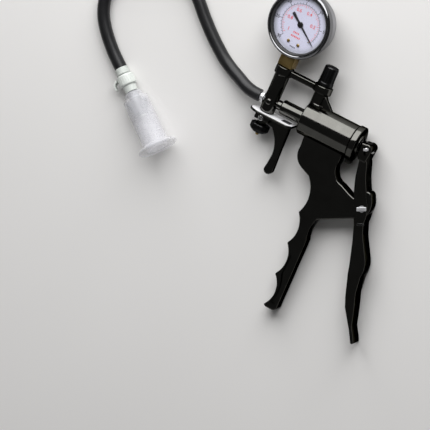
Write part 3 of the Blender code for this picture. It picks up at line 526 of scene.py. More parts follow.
def build_casting():
    along, up = (1, 0, 0), (0, 1, 0)
    front_wall, port_seat_r, vent_bore_r = 3.2, 4.3, 1.6
    profile = [(BARREL_R - 0.6, 0), (BARREL_R, 0.6), (BARREL_R, BARREL_LENGTH - 0.5),
               (BARREL_R - 0.5, BARREL_LENGTH)]
    barrel = turned(rounded(profile, 0.4, closed=False), steps=144, axis=along)
    profile = [(POST_R, 5), (POST_R, 20.6), (POST_R - 0.4, 21.0), (3.9, 21.0), (3.9, 33.0)]
    post = turned(profile, steps=72, axis=up, at=(POST_X, 0, 0))
    profile = [(5.6, 8), (5.6, 12.9), (5.0, 13.6), (4.0, 13.7)]
    foot = turned(rounded(profile, 0.5, closed=False), steps=72, axis=up, at=(POST_X + 1.4, 0, 0))
    rib = extruded([(6, 8), (6, 20.6), (9.0, 20.6), (10.6, 18.4), (17.6, 12), (20, 8)], -2.4, 2.4)
    cuts = (rod(BARREL_BORE_R, front_wall, BARREL_LENGTH + 9, steps=96, axis=along),
            rod(port_seat_r, -2, front_wall + 1, axis=along, at=(0, PORT_Y, 0), steps=48),
            rod(vent_bore_r, 6, 36, axis=up, at=(POST_X, 0, 0), steps=32),
            rod(PIVOT_R + 0.15, -12, 12, at=(*PIVOT, 0), steps=48),
            grip_recess(1), grip_recess(-1))
    adds = ((barrel, 0), (post, 0), (foot, 0), (rib, 0.7))
    grip = extruded(frame_outline(), -FRAME_HALF, FRAME_HALF)
    casting = shaped("casting", grip, adds, cuts, edge=1.3, segments=5)
    finish_piece(casting, ENAMEL, "body", "black_paint", "body_casting")
    front, face = 38.2, BARREL_LENGTH + CAP_LENGTH
    profile = [(BARREL_BORE_R - GAP, front), (BARREL_BORE_R - GAP, BARREL_LENGTH + GAP),
               (CAP_R, BARREL_LENGTH + GAP), (CAP_R, face), (7.2, face), (7.0, face + 1.2),
               (5.3, face + 1.2), (5.3, face - 1.1), (ROD_R + 0.25, face - 1.1), (ROD_R + 0.25, front)]
    cap = turned(rounded(profile, 0.6), steps=120, axis=along, closed=True)
    lug = box((BARREL_LENGTH + 0.5, -15.4, -4), (face - 0.4, -11.5, 4))
    finish_piece(shaped("end_cap", cap, [(lug, 0.5)]), ENAMEL, "body", "black_paint", "rear_cap")


# ------------ lever, pins and rod
def lever_outline():
    outline = [(50.9, -6.4), (53.6, -20.4), (57.3, -31.4), (63.2, -44.6), (67.0, -52.6), (70.4, -62.1),
               (75.6, -79.0), (77.5, -86.5), (82.7, -102.3), (85.8, -109.7), (95.2, -123.2)]
    outline += arc_through((99.6, -130.0), (101.1, -131.5), (101.5, -129.4), 8)
    outline += [(99.9, -126.3), (95.9, -120.1), (92.6, -108.5), (88.6, -96.8)]
    outline += arc_through((86.8, -86.0), (87.4, -80.0), (85.1, -71.8), 12)
    outline += [(76.4, -57.2), (73.0, -48.6)]
    outline += arc_through((73.0, -48.6), (72.2, -40.0), (68.2, -32.0), 12)
    outline += [(60.9, -17.9), (56.8, -6.4)]
    return rounded(outline, 2.2, 3)


def lever_head():
    x, y = WRIST_PIN
    outline = [(x - 5.0, -4.4), (x - 3.1, -8.4), (x + 2.8, -8.4)]
    return outline + arc((x, y), 3.8, -20, 118, 22) + [(x - 5.0, 4.2)]


def lever_channel():
    reach = 60
    x, y = PIVOT
    outline = arc(PIVOT, CHANNEL_DEPTH, -180, 0, 32)
    return outline + [(x + reach, y), (x + reach, reach), (x - reach, reach), (x - reach, y)]


def wrist_slot():
    reach = Vector(WRIST_PIN) - Vector(PIVOT)
    out = reach.normalized()
    room, outward, inward = 0.45, 0.35, 2.9
    half, angle = WRIST_R + room, atan2(out.y, out.x) * 180 / pi
    far, near = Vector(WRIST_PIN) + out * outward, Vector(WRIST_PIN) - out * inward
    outline = arc(far, half, angle - 90, angle + 90, 18) + arc(near, half, angle + 90, angle + 270, 18)
    return extruded(outline, -9, 9)


def bar_outline(center, half_length, half_width, angle):
    """A flat bar with small round corners."""
    along = Vector((cos(angle), sin(angle))) * half_length
    side = Vector((-sin(angle), cos(angle))) * half_width
    middle = Vector(center)
    corners = [middle - along - side, middle + along - side, middle + along + side, middle - along + side]
    return rounded([tuple(c) for c in corners], 0.5, 4)


def build_lever():
    head = extruded(lever_head(), -LEVER_HEAD_HALF, LEVER_HEAD_HALF)
    cuts = (extruded(lever_channel(), -CHANNEL_HALF, CHANNEL_HALF),
            rod(PIVOT_R + 0.12, -12, 12, at=(*PIVOT, 0), steps=48), wrist_slot())
    blade = extruded(lever_outline(), -LEVER_HALF, LEVER_HALF)
    lever = shaped("squeeze_lever", blade, [(head, 0.8)], cuts, edge=1.2, segments=5)
    finish_piece(lever, ENAMEL, "lever", "black_paint", "lever")
    # A thin dark steel bar laid on the lever's face: painted highlight for a grey glint there.
    outline = bar_outline((71.4, -50.0), 2.7, 0.8, PIN_TURN)
    plate = extruded(outline, LEVER_HALF - 0.2, LEVER_HALF + 0.25)
    glint_bar = shaped("lever_glint_bar", plate, edge=0.12)
    finish_piece(glint_bar, STEEL_DARK, "lever", "steel")


def build_pins():
    head = LEVER_HALF + GAP
    bar = extruded(bar_outline(PIVOT, 3.6, 1.4, PIN_TURN), head, head + 1.5)
    low, high = -LEVER_HALF - 1.7, -LEVER_HALF - 0.8
    profile = [(PIVOT_R - 0.5, low), (PIVOT_R + 1, low), (PIVOT_R + 1, high), (PIVOT_R - 0.5, high)]
    groove = turned(profile, at=(*PIVOT, 0), steps=48, closed=True)
    shaft = rod(PIVOT_R, -LEVER_HALF - 2.6, head + 0.6, at=(*PIVOT, 0), steps=48)
    pin = shaped("pivot", shaft, [(bar, 0.3)], [groove])
    finish_piece(pin, STEEL_WITH_PAINTED_HIGHLIGHT, "body", "steel", "pivot_pin")
    outline = arc(PIVOT, 4.6, -60, 240, 36) + arc(PIVOT, PIVOT_R - 0.3, 225, -45, 30)
    clip = extruded(outline, low + 0.15, high - 0.15)
    finish_piece(shaped("retaining_clip", clip, edge=0.15), STEEL, "body", "steel", "pivot_clip")
    x, y = WRIST_PIN
    reach = LEVER_HEAD_HALF + 0.8
    tab = extruded(bar_outline((x, y), 1.95, 0.85, PIN_TURN), reach - 0.5, reach + 0.3)
    wrist = shaped("wrist", rod(WRIST_R, -reach, reach, 0.3, at=(x, y, 0), steps=48), [(tab, 0.15)])
    finish_piece(wrist, STEEL_WITH_PAINTED_HIGHLIGHT, "piston_unit", "steel", "wrist_pin")
    outline = [(x - 6.6, -3.4), (x, -3.4)] + arc((x, y), 3.3, -60, 90, 20) + [(x - 6.6, 3.6)]
    holes = (rod(WRIST_R + 0.1, -10, 10, at=(x, y, 0), steps=48),
             rod(2.3, x - 10, x - 4.7, axis=(1, 0, 0), steps=48))
    block = shaped("rod_block", extruded(outline, -ROD_END_HALF, ROD_END_HALF), (), holes, edge=0.6)
    finish_piece(block, ENAMEL, "piston_unit", "steel", "rod_end")
    end = x - 6.8
    profile = [(1.9, 9.4), (1.9, 12.8), (ROD_R, 12.8), (ROD_R, end), (2.0, end), (2.0, end + 1.2)]
    shaft = turned(rounded(profile, 0.25, closed=False), axis=(1, 0, 0), steps=72)
    finish_piece(raw("plunger_rod", shaft), STEEL, "piston_unit", "steel", "piston_rod")


# ------------ column, port, bridge, knob
def build_column():
    up, at, along, port = (0, 1, 0), (COLUMN_X, 0, 0), (1, 0, 0), (0, PORT_Y, 0)
    bore = turned([(1.4, -30), (1.4, 17), (2.9, 17), (2.9, 30)], steps=40, axis=up, at=at)
    profile = [(2.3, COLUMN_X - 9), (2.3, COLUMN_X - 2.6), (1.2, COLUMN_X - 2.6),
               (1.2, COLUMN_X + 2.6), (2.9, COLUMN_X + 2.6), (2.9, COLUMN_X + 9)]
    ports = turned(profile, steps=40, axis=along, at=port)
    seats = [rod(SCREW_SEAT_R, low, high, at=(*TRIGGER_PIVOT, 0), steps=32)
             for low, high in ((2.2, 8), (-8, -2.2))]
    plug_seat = rod(1.9, 3.2, 8, at=(COLUMN_X, PORT_Y, 0), steps=32)
    profile = [(0, VALVE_NECK_END), (NECK_R, VALVE_NECK_END), (NECK_R, COLUMN_FOOT),
               (COLUMN_R, COLUMN_FOOT), (COLUMN_R, COLUMN_TOP), (4.2, COLUMN_TOP), (4.2, 26.4), (0, 26.4)]
    shape = turned(rounded(profile, 0.4, closed=False), steps=96, axis=up, at=at)
    column = shaped("column", shape, (), (bore, ports, *seats, plug_seat))
    finish_piece(column, ENAMEL, "body", "black_paint", "valve_column")
    profile = [(0, 3.5), (1.6, 3.5), (1.6, 5.8), (2.2, 5.8), (2.2, 6.3), (1.4, 6.9), (0, 7.1)]
    plug = turned(rounded(profile, 0.15, closed=False), steps=48, at=(COLUMN_X, PORT_Y, 0))
    slot_cut = box((COLUMN_X - 1.3, PORT_Y - 0.2, 6.7), (COLUMN_X + 1.3, PORT_Y + 0.2, 8))
    finish_piece(shaped("plug_screw", plug, (), [slot_cut]), ENAMEL, "body", "steel", "side_plug")
    neck_front = COLUMN_X + COLUMN_R + 0.1
    profile = [(2.6, COLUMN_X + 3.0), (2.6, neck_front + 0.2), (NECK_R, neck_front + 0.2),
               (NECK_R, PORT_FRONT), (PORT_R, PORT_FRONT), (PORT_R, -GAP), (4.0, -GAP), (4.0, 3.0),
               (3.3, 3.0), (3.3, PORT_FRONT + 2.2), (1.1, PORT_FRONT + 2.2), (1.1, COLUMN_X + 3.0)]
    tube = turned(rounded(profile, 0.8), steps=96, axis=along, at=port, closed=True)
    finish_piece(raw("inlet_tube", tube), ENAMEL, "body", "black_paint", "port_tube")
    face = -(COLUMN_X - COLUMN_R)
    profile = [(2.0, face - 2.6), (2.0, face + 0.1), (4.1, face + 0.1), (4.1, face + 1.1),
               (2.9, face + 1.3), (2.9, face + 3.1), (1.1, face + 3.1), (1.1, face - 2.6)]
    nozzle = turned(rounded(profile, 0.25), steps=72, axis=(-1, 0, 0), at=port, closed=True)
    # the nozzle is black paint; its pale metal is painted highlight at the hose's end
    finish_piece(raw("nozzle", nozzle), STEEL_WITH_PAINTED_HIGHLIGHT, "body", "black_paint", "hose_nozzle")


def build_bridge():
    front, rear = COLUMN_X + COLLAR_R - 1.3, POST_X - RING_R + 1.6
    bar = extruded([(front, BRIDGE_LOW), (rear, BRIDGE_LOW), (rear, BRIDGE_HIGH), (front, BRIDGE_HIGH)],
                   -BRIDGE_HALF, BRIDGE_HALF)
    up, column, post = (0, 1, 0), (COLUMN_X, 0, 0), (POST_X, 0, 0)
    adds = [(rod(COLLAR_R, COLUMN_TOP + GAP, 26.7, 0.5, axis=up, at=column, steps=96), 0),
            (rod(RING_R, 21.3, 27.1, 0.5, axis=up, at=post, steps=96), 0)]
    cuts = [rod(4.5, 10, 40, axis=up, at=column, steps=64), rod(4.2, 10, 40, axis=up, at=post, steps=64)]
    bridge = shaped("cross_bridge", bar, adds, cuts, edge=0.8)
    finish_piece(bridge, ENAMEL, "body", "black_paint", "bridge")


def build_knob():
    low, high = KNOB_LOW, KNOB_HIGH
    profile = [(5.5, low), (5.75, low + 0.4), (5.75, low + 2.2), (5.5, low + 2.6), (5.25, high - 1.0),
               (4.6, high - 0.2), (0, high), (0, 33.6), (4.2, 33.6), (4.2, low)]
    shape = turned(rounded(profile, 0.4), steps=144, axis=(0, 1, 0), at=(POST_X, 0, 0), closed=True)
    cuts, grooves = [], 18
    for k in range(grooves):
        t = tau * k / grooves
        cuts.append(rod(0.42, low + 3.2, high - 1.2, axis=(0, 1, 0), steps=12,
                        at=(POST_X + 5.42 * cos(t), 0, 5.42 * sin(t))))
    finish_piece(shaped("vent_cap", shape, (), cuts), PLASTIC, "vent_knob", "black_plastic", "vent_knob")


# ------------ gauge
def build_gauge_body():
    stem_low, case_low = 27.1 - GAUGE_Y, -CASE_R
    thread = rod(2.6, stem_low - 8, stem_low + 1, axis=(0, 1, 0), steps=48)
    passage = rod(1.0, stem_low - 12, case_low + 3, axis=(0, 1, 0), steps=24)
    square = box((-5.7, stem_low, -4.7), (5.7, case_low + 4.0, 4.7))
    stem = shaped("stem", square, [(thread, 0)], [passage], GAUGE, 0.5)
    finish_piece(stem, BRASS, "body", "brass", "gauge_stem")
    back, front, low = CASE_BACK, CASE_FRONT, BEZEL_BACK
    profile = [(0, back), (CASE_R - 2.5, back), (CASE_R - 0.7, back + 0.7), (CASE_R, back + 2.5),
               (CASE_R, front), (CASE_R - 0.8, front), (CASE_R - 0.8, back + 3), (CASE_R - 3, back + 0.9),
               (0, back + 0.9)]
    opening = box((-6.0, -30, -5.0), (6.0, case_low + 6, 5.0))
    case = shaped("case", turned(rounded(profile, 0.8, closed=False), steps=144), (), [opening], GAUGE)
    finish_piece(case, CHROME, "body", "chrome", "gauge_case")
    profile = [(CASE_R + 0.3, low), (BEZEL_R, low), (BEZEL_R, low + 5.4), (BEZEL_R - 1.4, low + 6.4),
               (BEZEL_R - 2.1, low + 6.0), (CASE_R - 0.5, low + 4.9), (CASE_R - 0.5, front + GAP),
               (CASE_R + 0.3, front + GAP)]
    ring = raw("rim", turned(rounded(profile, 0.8, 5), steps=192, closed=True), GAUGE)
    # the bezel gets the darkened chrome: painted shade
    finish_piece(ring, SHADED_CHROME, "body", "chrome", "gauge_bezel")
    lens_low, dial_top = DIAL_FACE + 1.5, DIAL_FACE + GAP
    profile = [(20.7, lens_low + 1.2), (22.0, lens_low + 2.2), (22.0, dial_top), (20.7, dial_top)]
    gasket = raw("window_seal", turned(rounded(profile, 0.25), steps=144, closed=True), GAUGE)
    finish_piece(gasket, RUBBER, "body", "rubber", "bezel_gasket")
    lens = turned([(0, lens_low), (20.2, lens_low), (20.4, lens_low + 0.2), (20.4, lens_low + 0.8),
                   (20.2, lens_low + 1), (0, lens_low + 1)], steps=144)
    finish_piece(raw("window", lens, GAUGE), GLASS, "body", "glass", "gauge_lens")
    edge = DIAL_R - 0.4
    profile = [(1.1, DIAL_FACE - 0.8), (edge, DIAL_FACE - 0.8), (edge, DIAL_FACE - 0.1),
               (edge - 0.1, DIAL_FACE), (1.1, DIAL_FACE)]
    dial = raw("dial_face", turned(profile, steps=144, closed=True), GAUGE)
    finish_piece(dial, DIAL_PAINT_AND_RIM_SHADE, "body", "white_enamel", "gauge_dial")


def numeral(text, height, center, turn, low, high):
    """A number from Blender's own font, as a thin solid."""
    capital_share = 0.72
    curve = bpy.data.curves.new("numeral", "FONT")
    curve.body = text
    curve.size = height / capital_share
    curve.align_x, curve.align_y = "CENTER", "CENTER"
    curve.extrude = (high - low) / 2
    curve.offset = height * 0.02
    curve.resolution_u = 4
    temporary = linked("numeral", curve)
    mesh = shown_mesh(temporary)
    bpy.data.objects.remove(temporary)
    bm = bmesh.new()
    bm.from_mesh(mesh)
    bmesh.ops.remove_doubles(bm, verts=bm.verts, dist=1e-5)
    place = Matrix.Translation((*center, (low + high) / 2)) @ Matrix.Rotation(turn, 4, "Z")
    bmesh.ops.transform(bm, matrix=place, verts=bm.verts)
    return bm


def gathered(shapes):
    """Many small solids as one mesh."""
    whole = bmesh.new()
    for shape in shapes:
        part = bpy.data.meshes.new("part")
        shape.to_mesh(part)
        shape.free()
        whole.from_mesh(part)
        bpy.data.meshes.remove(part)
    return whole


def at_angle(radius, degrees):
    t = radians(degrees)
    return radius * cos(t), radius * sin(t)


def tick(inner, outer, width, degrees, low, high):
    """A radial line at an angle from the gauge's +X side."""
    t = radians(degrees)
    along, side = Vector((cos(t), sin(t))), Vector((-sin(t), cos(t))) * width / 2
    corners = [along * inner - side, along * outer - side, along * outer + side, along * inner + side]
    return extruded([tuple(c) for c in corners], low, high)


def build_dial_print():
    """The two scales: 0 to 30 outside in black, 0 to 1 inside in red, and plain bars for words."""
    low, high = DIAL_FACE + 0.01, DIAL_FACE + 0.06
    start, step, numeral_turn = -34.6, 8.84, radians(4)
    black, red = [], []
    for unit in range(31):
        outer, width = (17.0, 0.34) if unit % 5 == 0 else (16.0, 0.20)
        black.append(tick(14.9, outer, width, start + step * unit, low, high))
    arc_points = [at_angle(15.05, start + 2.9 * k) for k in range(92)]
    arc_points += [at_angle(14.8, start + 2.9 * k) for k in range(91, -1, -1)]
    black.append(extruded(arc_points, low, high))
    for number in range(5, 31, 5):
        place = at_angle(18.75, start + step * number)
        black.append(numeral(str(number), 2.3, place, numeral_turn, low, high))
    for k in range(41):
        degrees = start + 1.5 + 6.425 * k
        red.append(tick(12.6 if k % 4 == 0 else 13.4, 14.5, 0.34, degrees, low, high))
    for text, degrees, radius in (("0.2", 16.7, 9.6), ("0.4", 72, 10.2), ("0.6", 120.5, 10.4),
                                  ("0.8", 171.7, 9.6), ("1", 221, 9.7)):
        red.append(numeral(text, 2.5, at_angle(radius, degrees), numeral_turn, low, high))
    for x, y, width, dashes in ((-0.3, -6.8, 5.2, 4), (0.3, -9.7, 7.8, 6)):
        pitch = width / dashes
        for k in range(dashes):
            left = x - width / 2 + pitch * k
            red.append(box((left, y - 0.65, low), (left + pitch * 0.62, y + 0.65, high)))
    for k in range(4):
        left = 1.0 - 2.2 + 1.15 * k
        black.append(box((left, -17.6, low), (left + 0.7, -16.7, high)))
    finish_piece(raw("black_print", gathered(black), GAUGE), BLACK_INK, "body", "black_plastic", sharp=25)
    finish_piece(raw("red_print", gathered(red), GAUGE), RED_INK, "body", "white_enamel", sharp=25)


def build_needle():
    low = DIAL_FACE + 0.35
    c, s = cos(NEEDLE_REST), sin(NEEDLE_REST)
    along, side = Vector((c, s)), Vector((-s, c))
    outline = [tuple(along * a + side * b) for a, b in
               ((1.6, -0.75), (16.8, -0.3), (18.6, 0), (16.8, 0.3), (1.6, 0.75), (-3.2, 0.75), (-9.6, 1.2),
                (-10.4, 0.9), (-10.4, -0.9), (-9.6, -1.2), (-3.2, -0.75))]
    blade = shaped("pointer", extruded(outline, low, low + 0.4), edge=0.1, place=GAUGE)
    finish_piece(blade, BLACK_INK, "needle", "black_plastic", "needle")
    profile = [(0, DIAL_FACE - 2.4), (0.75, DIAL_FACE - 2.4), (0.75, low - 0.1), (2.2, low - 0.1),
               (2.2, low + 0.5), (1.6, low + 0.62), (0, low + 0.62)]
    hub = turned(rounded(profile, 0.15, closed=False), steps=64)
    finish_piece(raw("pointer_hub", hub, GAUGE), STEEL_DARK, "needle", "steel")
    low = DIAL_FACE + GAP
    profile = [(0, low), (1.15, low), (1.15, low + 0.45), (0.8, low + 0.7), (0, low + 0.7)]
    for name, node, x in (("left_dial_screw", "dial_screw_left", -3.6),
                          ("right_dial_screw", "dial_screw_right", 4.6)):
        head = turned(rounded(profile, 0.12, closed=False), steps=40, at=(x, -14.2, 0))
        notch = box((x - 1.3, -14.32, low + 0.5), (x + 1.3, -14.08, low + 2))
        finish_piece(shaped(name, head, (), [notch], GAUGE), BRASS, "body", "brass", node)
    turn = NEEDLE_REST - radians(4.5)
    stop = rod(0.4, low, low + 0.9, 0.1, steps=32, at=(14 * cos(turn), 14 * sin(turn), 0))
    finish_piece(raw("stop_pin", stop, GAUGE), BRASS, "body", "brass", "needle_stop")


# ------------ trigger and release valve
def trigger_plate(inset=0.0, thick=PLATE_THICK, top=PLATE_TOP):
    """The flat thumb plate, or a thinner one that lies on it as a sheet of painted highlight, its edge set
    in a little.
    """
    front, rear, half = -39.4 + inset, -4.0 - inset, PLATE_HALF - inset
    outline = arc((front + half, 0), half, 90, 270, 40)
    outline += [(rear - 3.2, -half), (rear, -half + 3.6), (rear, half - 3.6), (rear - 3.2, half)]
    shape = extruded(rounded(outline, 1.0), -thick / 2, thick / 2)
    lay = Matrix.Translation((0, top - thick / 2, 0)) @ Matrix.Rotation(radians(-90), 4, "X")
    bmesh.ops.transform(shape, matrix=lay, verts=shape.verts)
    return shape


def build_trigger():
    x = COLUMN_X
    outline = [(x - 5.4, -11.0), (x - 5.4, -14.8), (x - 3.0, -15.6), (x + 5.6, -16.8), (x + 9.0, -17.2)]
    outline += arc_through((x + 9.0, -17.2), (x + 15.2, -26.2), (-10.4, -35.0), 16)
    outline += [(-11.0, -41.0)]
    outline += arc_through((-11.8, -45.4), (-8.6, -49.6), (-5.2, -45.6), 20)
    outline += [(-5.9, -29.6), (-6.2, -13.6), (-6.2, -11.0)]
    block = box((x - 5.4, -15.4, -6.6), (x + 6.2, -10.6, 6.6))
    neck, highlight_sheet_neck = (rod(NECK_R + 0.8, -30, 0, axis=(0, 1, 0), at=(x, 0, 0), steps=64)
                         for _ in range(2))
    seats = rod(SCREW_SEAT_R, -12, 12, at=(*TRIGGER_PIVOT, 0), steps=40)
    trigger = shaped("thumb_trigger", extruded(outline, -STEM_HALF, STEM_HALF),
                     [(trigger_plate(), 0.35), (block, 0.5)], [neck, seats], edge=0.9, segments=5)
    finish_piece(trigger, ENAMEL, "trigger", "black_plastic", "release_trigger")
    # A thin pale sheet on the plate's top: painted highlight, standing for the black plate's reflection of
    # the light.
    face = trigger_plate(0.7, 0.25, PLATE_TOP + 0.2)
    highlight_sheet = shaped("painted_highlight_sheet", face, (), [highlight_sheet_neck])
    finish_piece(highlight_sheet, PLATE_HIGHLIGHT, "trigger", "steel")
    pad = box((-14.0, PLATE_TOP, -3.4), (-7.4, PLATE_TOP + 0.45, 3.4))
    finish_piece(shaped("thumb_pad", pad, edge=0.2), RUBBER, "trigger", "black_plastic")
    y, profile = TRIGGER_PIVOT[1], [(0, 2.6), (1.05, 2.6), (1.05, 6.9), (2.2, 6.9), (2.2, 7.6),
                                    (1.6, 8.1), (0, 8.2)]
    for name, node, side, low, high in (("left_pivot_screw", "trigger_screw_left", 1, 7.8, 9),
                                        ("right_pivot_screw", "trigger_screw_right", -1, -9, -7.8)):
        shape = rounded(profile, 0.2, closed=False)
        screw = turned(shape, steps=48, axis=(0, 0, side), at=(x, y, 0))
        cross = box((x - 1.7, y - 0.22, low), (x + 1.7, y + 0.22, high))
        finish_piece(shaped(name, screw, (), [cross]), STEEL, "body", "steel", node)
    top, low, outer, up = -19.0, -24.4, 7.2, (0, 1, 0)
    profile = [(outer - 1.5, low), (outer, low + 1.6), (outer, top - 0.5), (outer - 0.5, top),
               (NECK_R + GAP, top), (NECK_R + GAP, VALVE_NECK_END - GAP), (1.7, VALVE_NECK_END - GAP),
               (1.7, low - 1.2), (3.6, low - 1.2)]
    nut = turned(rounded(profile, 0.3), steps=144, axis=up, at=(x, 0, 0), closed=True, flute=0.02,
                 flutes=12)
    finish_piece(raw("fluted_nut", nut), PLASTIC, "body", "black_plastic", "valve_nut")
    profile = [(0, -27.8), (0.9, -27.6), (1.3, -26.9), (1.3, -25.0), (1.1, -24.8), (1.1, COLUMN_FOOT),
               (0, COLUMN_FOOT)]
    stem = turned(rounded(profile, 0.15, closed=False), steps=48, axis=up, at=(x, 0, 0))
    finish_piece(raw("stem_pin", stem), BRASS, "release_stem", "brass", "release_stem")


# ------------ hose, connector and cup
def build_hose():
    """The hose on its own route, drawn as one smooth curve through the CAD hose's line."""
    points, length = smooth_route(HOSE_ROUTE, HOSE_STEP)
    curve = round_line("vacuum_hose", points, HOSE_R, 12)
    curve.materials.append(HOSE_SKIN)
    hose = linked("vacuum_hose", curve)
    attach(hose, "body")
    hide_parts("hose")


def build_connector():
    ribs, pitch = [(1.4, 0.3), (4.7, 0.3)], 1.1
    for k in range(4):
        low = 0.6 + pitch * k
        ribs += [(5.1, low), (5.1, low + 0.6), (4.8, low + 0.75), (4.8, low + 0.95)]
    ribs += [(4.7, 5.2), (1.4, 5.2)]
    collar = raw("ribbed_collar", turned(rounded(ribs, 0.15, 2), steps=96, closed=True), CUP)
    finish_piece(collar, WHITE, "body", "white_plastic", "hose_collar")
    body = [(1.4, 5.5), (4.2, 5.5), (6.0, 6.2), (6.4, 7.0), (6.4, 13.6), (5.8, 14.3), (4.9, 14.5),
            (4.7, 19.4), (3.4, 19.4), (3.4, 14.0), (1.4, 14.0)]
    cuts, grooves, latch_gap = [], 20, 0.45
    for k in range(grooves):
        t = tau * (k + 0.5) / grooves
        if abs(t - pi) > latch_gap:
            cuts.append(rod(0.35, 7.6, 13.0, steps=10, at=(6.5 * cos(t), 6.5 * sin(t), 0)))
    shape = turned(rounded(body, 0.4), steps=120, closed=True)
    connector = shaped("quick_connector", shape, (), cuts, CUP)
    finish_piece(connector, WHITE, "body", "white_plastic", "connector_body")
    outline = [(-6.7, 6.6), (-9.2, 8.0), (-10.4, 9.4), (-10.4, 13.6), (-9.4, 13.8), (-9.2, 10.2),
               (-8.2, 9.0), (-6.7, 8.4)]
    shape = extruded(rounded(outline, 0.6), -2.3, 2.3)
    bmesh.ops.transform(shape, matrix=Matrix.Rotation(radians(90), 4, "X"), verts=shape.verts)
    latch = shaped("thumb_latch", shape, place=CUP, edge=0.3)
    finish_piece(latch, WHITE, "latch", "white_plastic", "latch_tab")


def build_cup():
    socket, step, shoulder, rim, wall = 19.8, 19.9, 25.2, CUP_LENGTH, 1.3
    body_r, mouth_r = 9.35, 14.9
    bore_r = body_r - wall
    outside = [(3.9, socket), (5.0, socket), (6.6, step + 0.7), (6.6, shoulder - 0.2),
               (body_r, shoulder), (body_r + 0.2, rim - 4.4), (mouth_r - 1.4, rim - 3.0),
               (mouth_r, rim - 1.6), (mouth_r - 0.5, rim - 0.5), (mouth_r - 1.1, rim)]
    inside = [(bore_r + 0.6, rim), (bore_r, rim - 0.5), (bore_r, shoulder + wall), (3.9, shoulder + wall)]
    shell = turned(rounded(outside + inside, 0.7, 5), steps=144, closed=True)
    finish_piece(raw("suction_cup", shell, CUP), FROST, "cup", "clear_plastic", "cup")
    profile = [(1.6, socket + 1.0), (3.5, socket + 1.0), (3.5, shoulder + 12.6), (1.6, shoulder + 12.6)]
    inner = turned(rounded(profile, 0.5), steps=96, closed=True)
    finish_piece(raw("valve_sleeve", inner, CUP), SLEEVE, "cup", "clear_plastic", "cup_valve_sleeve")
    profile = [(0, shoulder - 6.6), (1.2, shoulder - 6.6), (1.2, shoulder + 13.0), (2.6, shoulder + 13.0),
               (2.6, shoulder + 14.2), (0, shoulder + 14.4)]
    poppet = raw("valve_poppet", turned(rounded(profile, 0.25, closed=False), steps=64), CUP)
    finish_piece(poppet, WHITE, "cup_poppet", "white_plastic", "cup_valve_poppet")
    fins = []
    for turn in range(4):
        fin = extruded(rounded([(3.3, shoulder + 1.0), (8.2, shoulder + 1.0), (8.2, shoulder + 4.0),
                                (5.0, shoulder + 11.0), (3.3, shoulder + 11.0)], 0.5), -0.35, 0.35)
        stand = Matrix.Rotation(tau * (turn + 0.5) / 4, 4, "Z") @ Matrix.Rotation(radians(90), 4, "X")
        bmesh.ops.transform(fin, matrix=stand, verts=fin.verts)
        fins.append(fin)
    finish_piece(raw("sleeve_fins", gathered(fins), CUP), SLEEVE, "cup", "clear_plastic")


def coil_spring(name, node, at, radius, wire, low, high, turns):
    """A coil along the pump's X axis from its low end to its high end."""
    steps = 40
    count = round(turns * steps)
    line = direction_matrix((1, 0, 0), at)
    points = []
    for k in range(count + 1):
        t = tau * k / steps
        points.append(line @ Vector((radius * cos(t), radius * sin(t), low + (high - low) * k / count)))
    drawn = linked(name + "_line", round_line(name, points, wire, 5))
    spring = linked(name, shown_mesh(drawn), PUMP)
    bpy.data.objects.remove(drawn)
    finish_piece(spring, STEEL, "body", "steel", node, sharp=60)
    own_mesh(spring)


def build_springs():
    piston_end, cap_front, stroke = 12.5, 37.45, 19.1
    coil_spring("main_spring", "return_spring", (0, 0, 0), 7.2, 0.55, piston_end + 0.95, cap_front, 4)
    seat, retainer, lift = PORT_FRONT + 2.2 + GAP, -6.6, 1.2
    coil_spring("valve_spring", "inlet_valve_spring", (0, PORT_Y, 0), 1.9, 0.28, seat + 1.75, retainer, 5)


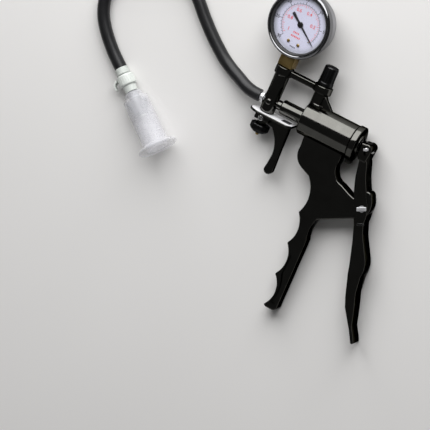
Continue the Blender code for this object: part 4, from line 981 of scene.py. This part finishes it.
def finish_inner_parts():
    """The CAD pieces that stay: inside the pump they need a finish and not a finer shape."""
    finishes = {"cylinder_liner": BRASS, "rod_wiper": RUBBER, "piston": PLASTIC, "piston_seal": RUBBER,
                "exhaust_flap": RUBBER, "inlet_valve_disc": RUBBER, "inlet_valve_retainer": BRASS,
                "movement_plate": BRASS, "bourdon_tube": BRASS}
    for name, made in finishes.items():
        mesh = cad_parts[name].data
        mesh.materials.clear()
        mesh.materials.append(made)


# ------------ floor and light
def build_floor():
    made, tree, shader = shader_of("pale_floor")
    tree.links.new(ramp(tree, noise(tree, 3, 3), [(0.3, (0.73, 0.72, 0.71)), (0.7, (0.76, 0.75, 0.74))]),
                   shader.inputs["Base Color"])
    tree.links.new(spread(tree, noise(tree, 60, 3), 0.75, 0.9), shader.inputs["Roughness"])
    bm = bmesh.new()
    bmesh.ops.create_grid(bm, x_segments=4, y_segments=4, size=4)  # 8 m across
    mesh = bpy.data.meshes.new("floor")
    bm.to_mesh(mesh)
    bm.free()
    mesh.materials.append(made)
    floor = linked("floor", mesh)


def softbox(name, direction, distance, size, power):
    """A square light that faces the pump from a direction in the pump's own frame."""
    aim = PUMP_PLACE * MM
    toward = PUMP.to_3x3() @ Vector(direction).normalized()
    data = bpy.data.lights.new(name, "AREA")
    data.shape = "RECTANGLE"
    data.size = data.size_y = size
    data.energy = power
    turn = toward.to_track_quat("Z", "Y").to_matrix().to_4x4()
    light = linked(name, data, Matrix.Translation(aim + toward * distance) @ turn)
    light.visible_camera = False


def build_light():
    world = bpy.data.worlds.new("studio")
    bpy.context.scene.world = world
    world.use_nodes = True
    sky = world.node_tree.nodes["Background"].inputs
    sky["Color"].default_value = (1, 1, 1, 1)
    sky["Strength"].default_value = 0.06
    key_tilt, fill_tilt = radians(58), radians(64)
    softbox("key", (-0.25, sin(key_tilt), cos(key_tilt)), distance=1.1, size=1.5, power=31)
    softbox("fill", (0.1, -sin(fill_tilt), cos(fill_tilt)), distance=1.2, size=1.3, power=2)
    bpy.context.scene.view_settings.view_transform = "Standard"


make_camera()
build_connector()
build_cup()
build_hose()
build_casting()
build_lever()
build_pins()
build_column()
build_bridge()
build_knob()
build_gauge_body()
build_dial_print()
build_needle()
build_trigger()
build_springs()
finish_inner_parts()
build_floor()
build_light()

bpy.context.view_layer.update()
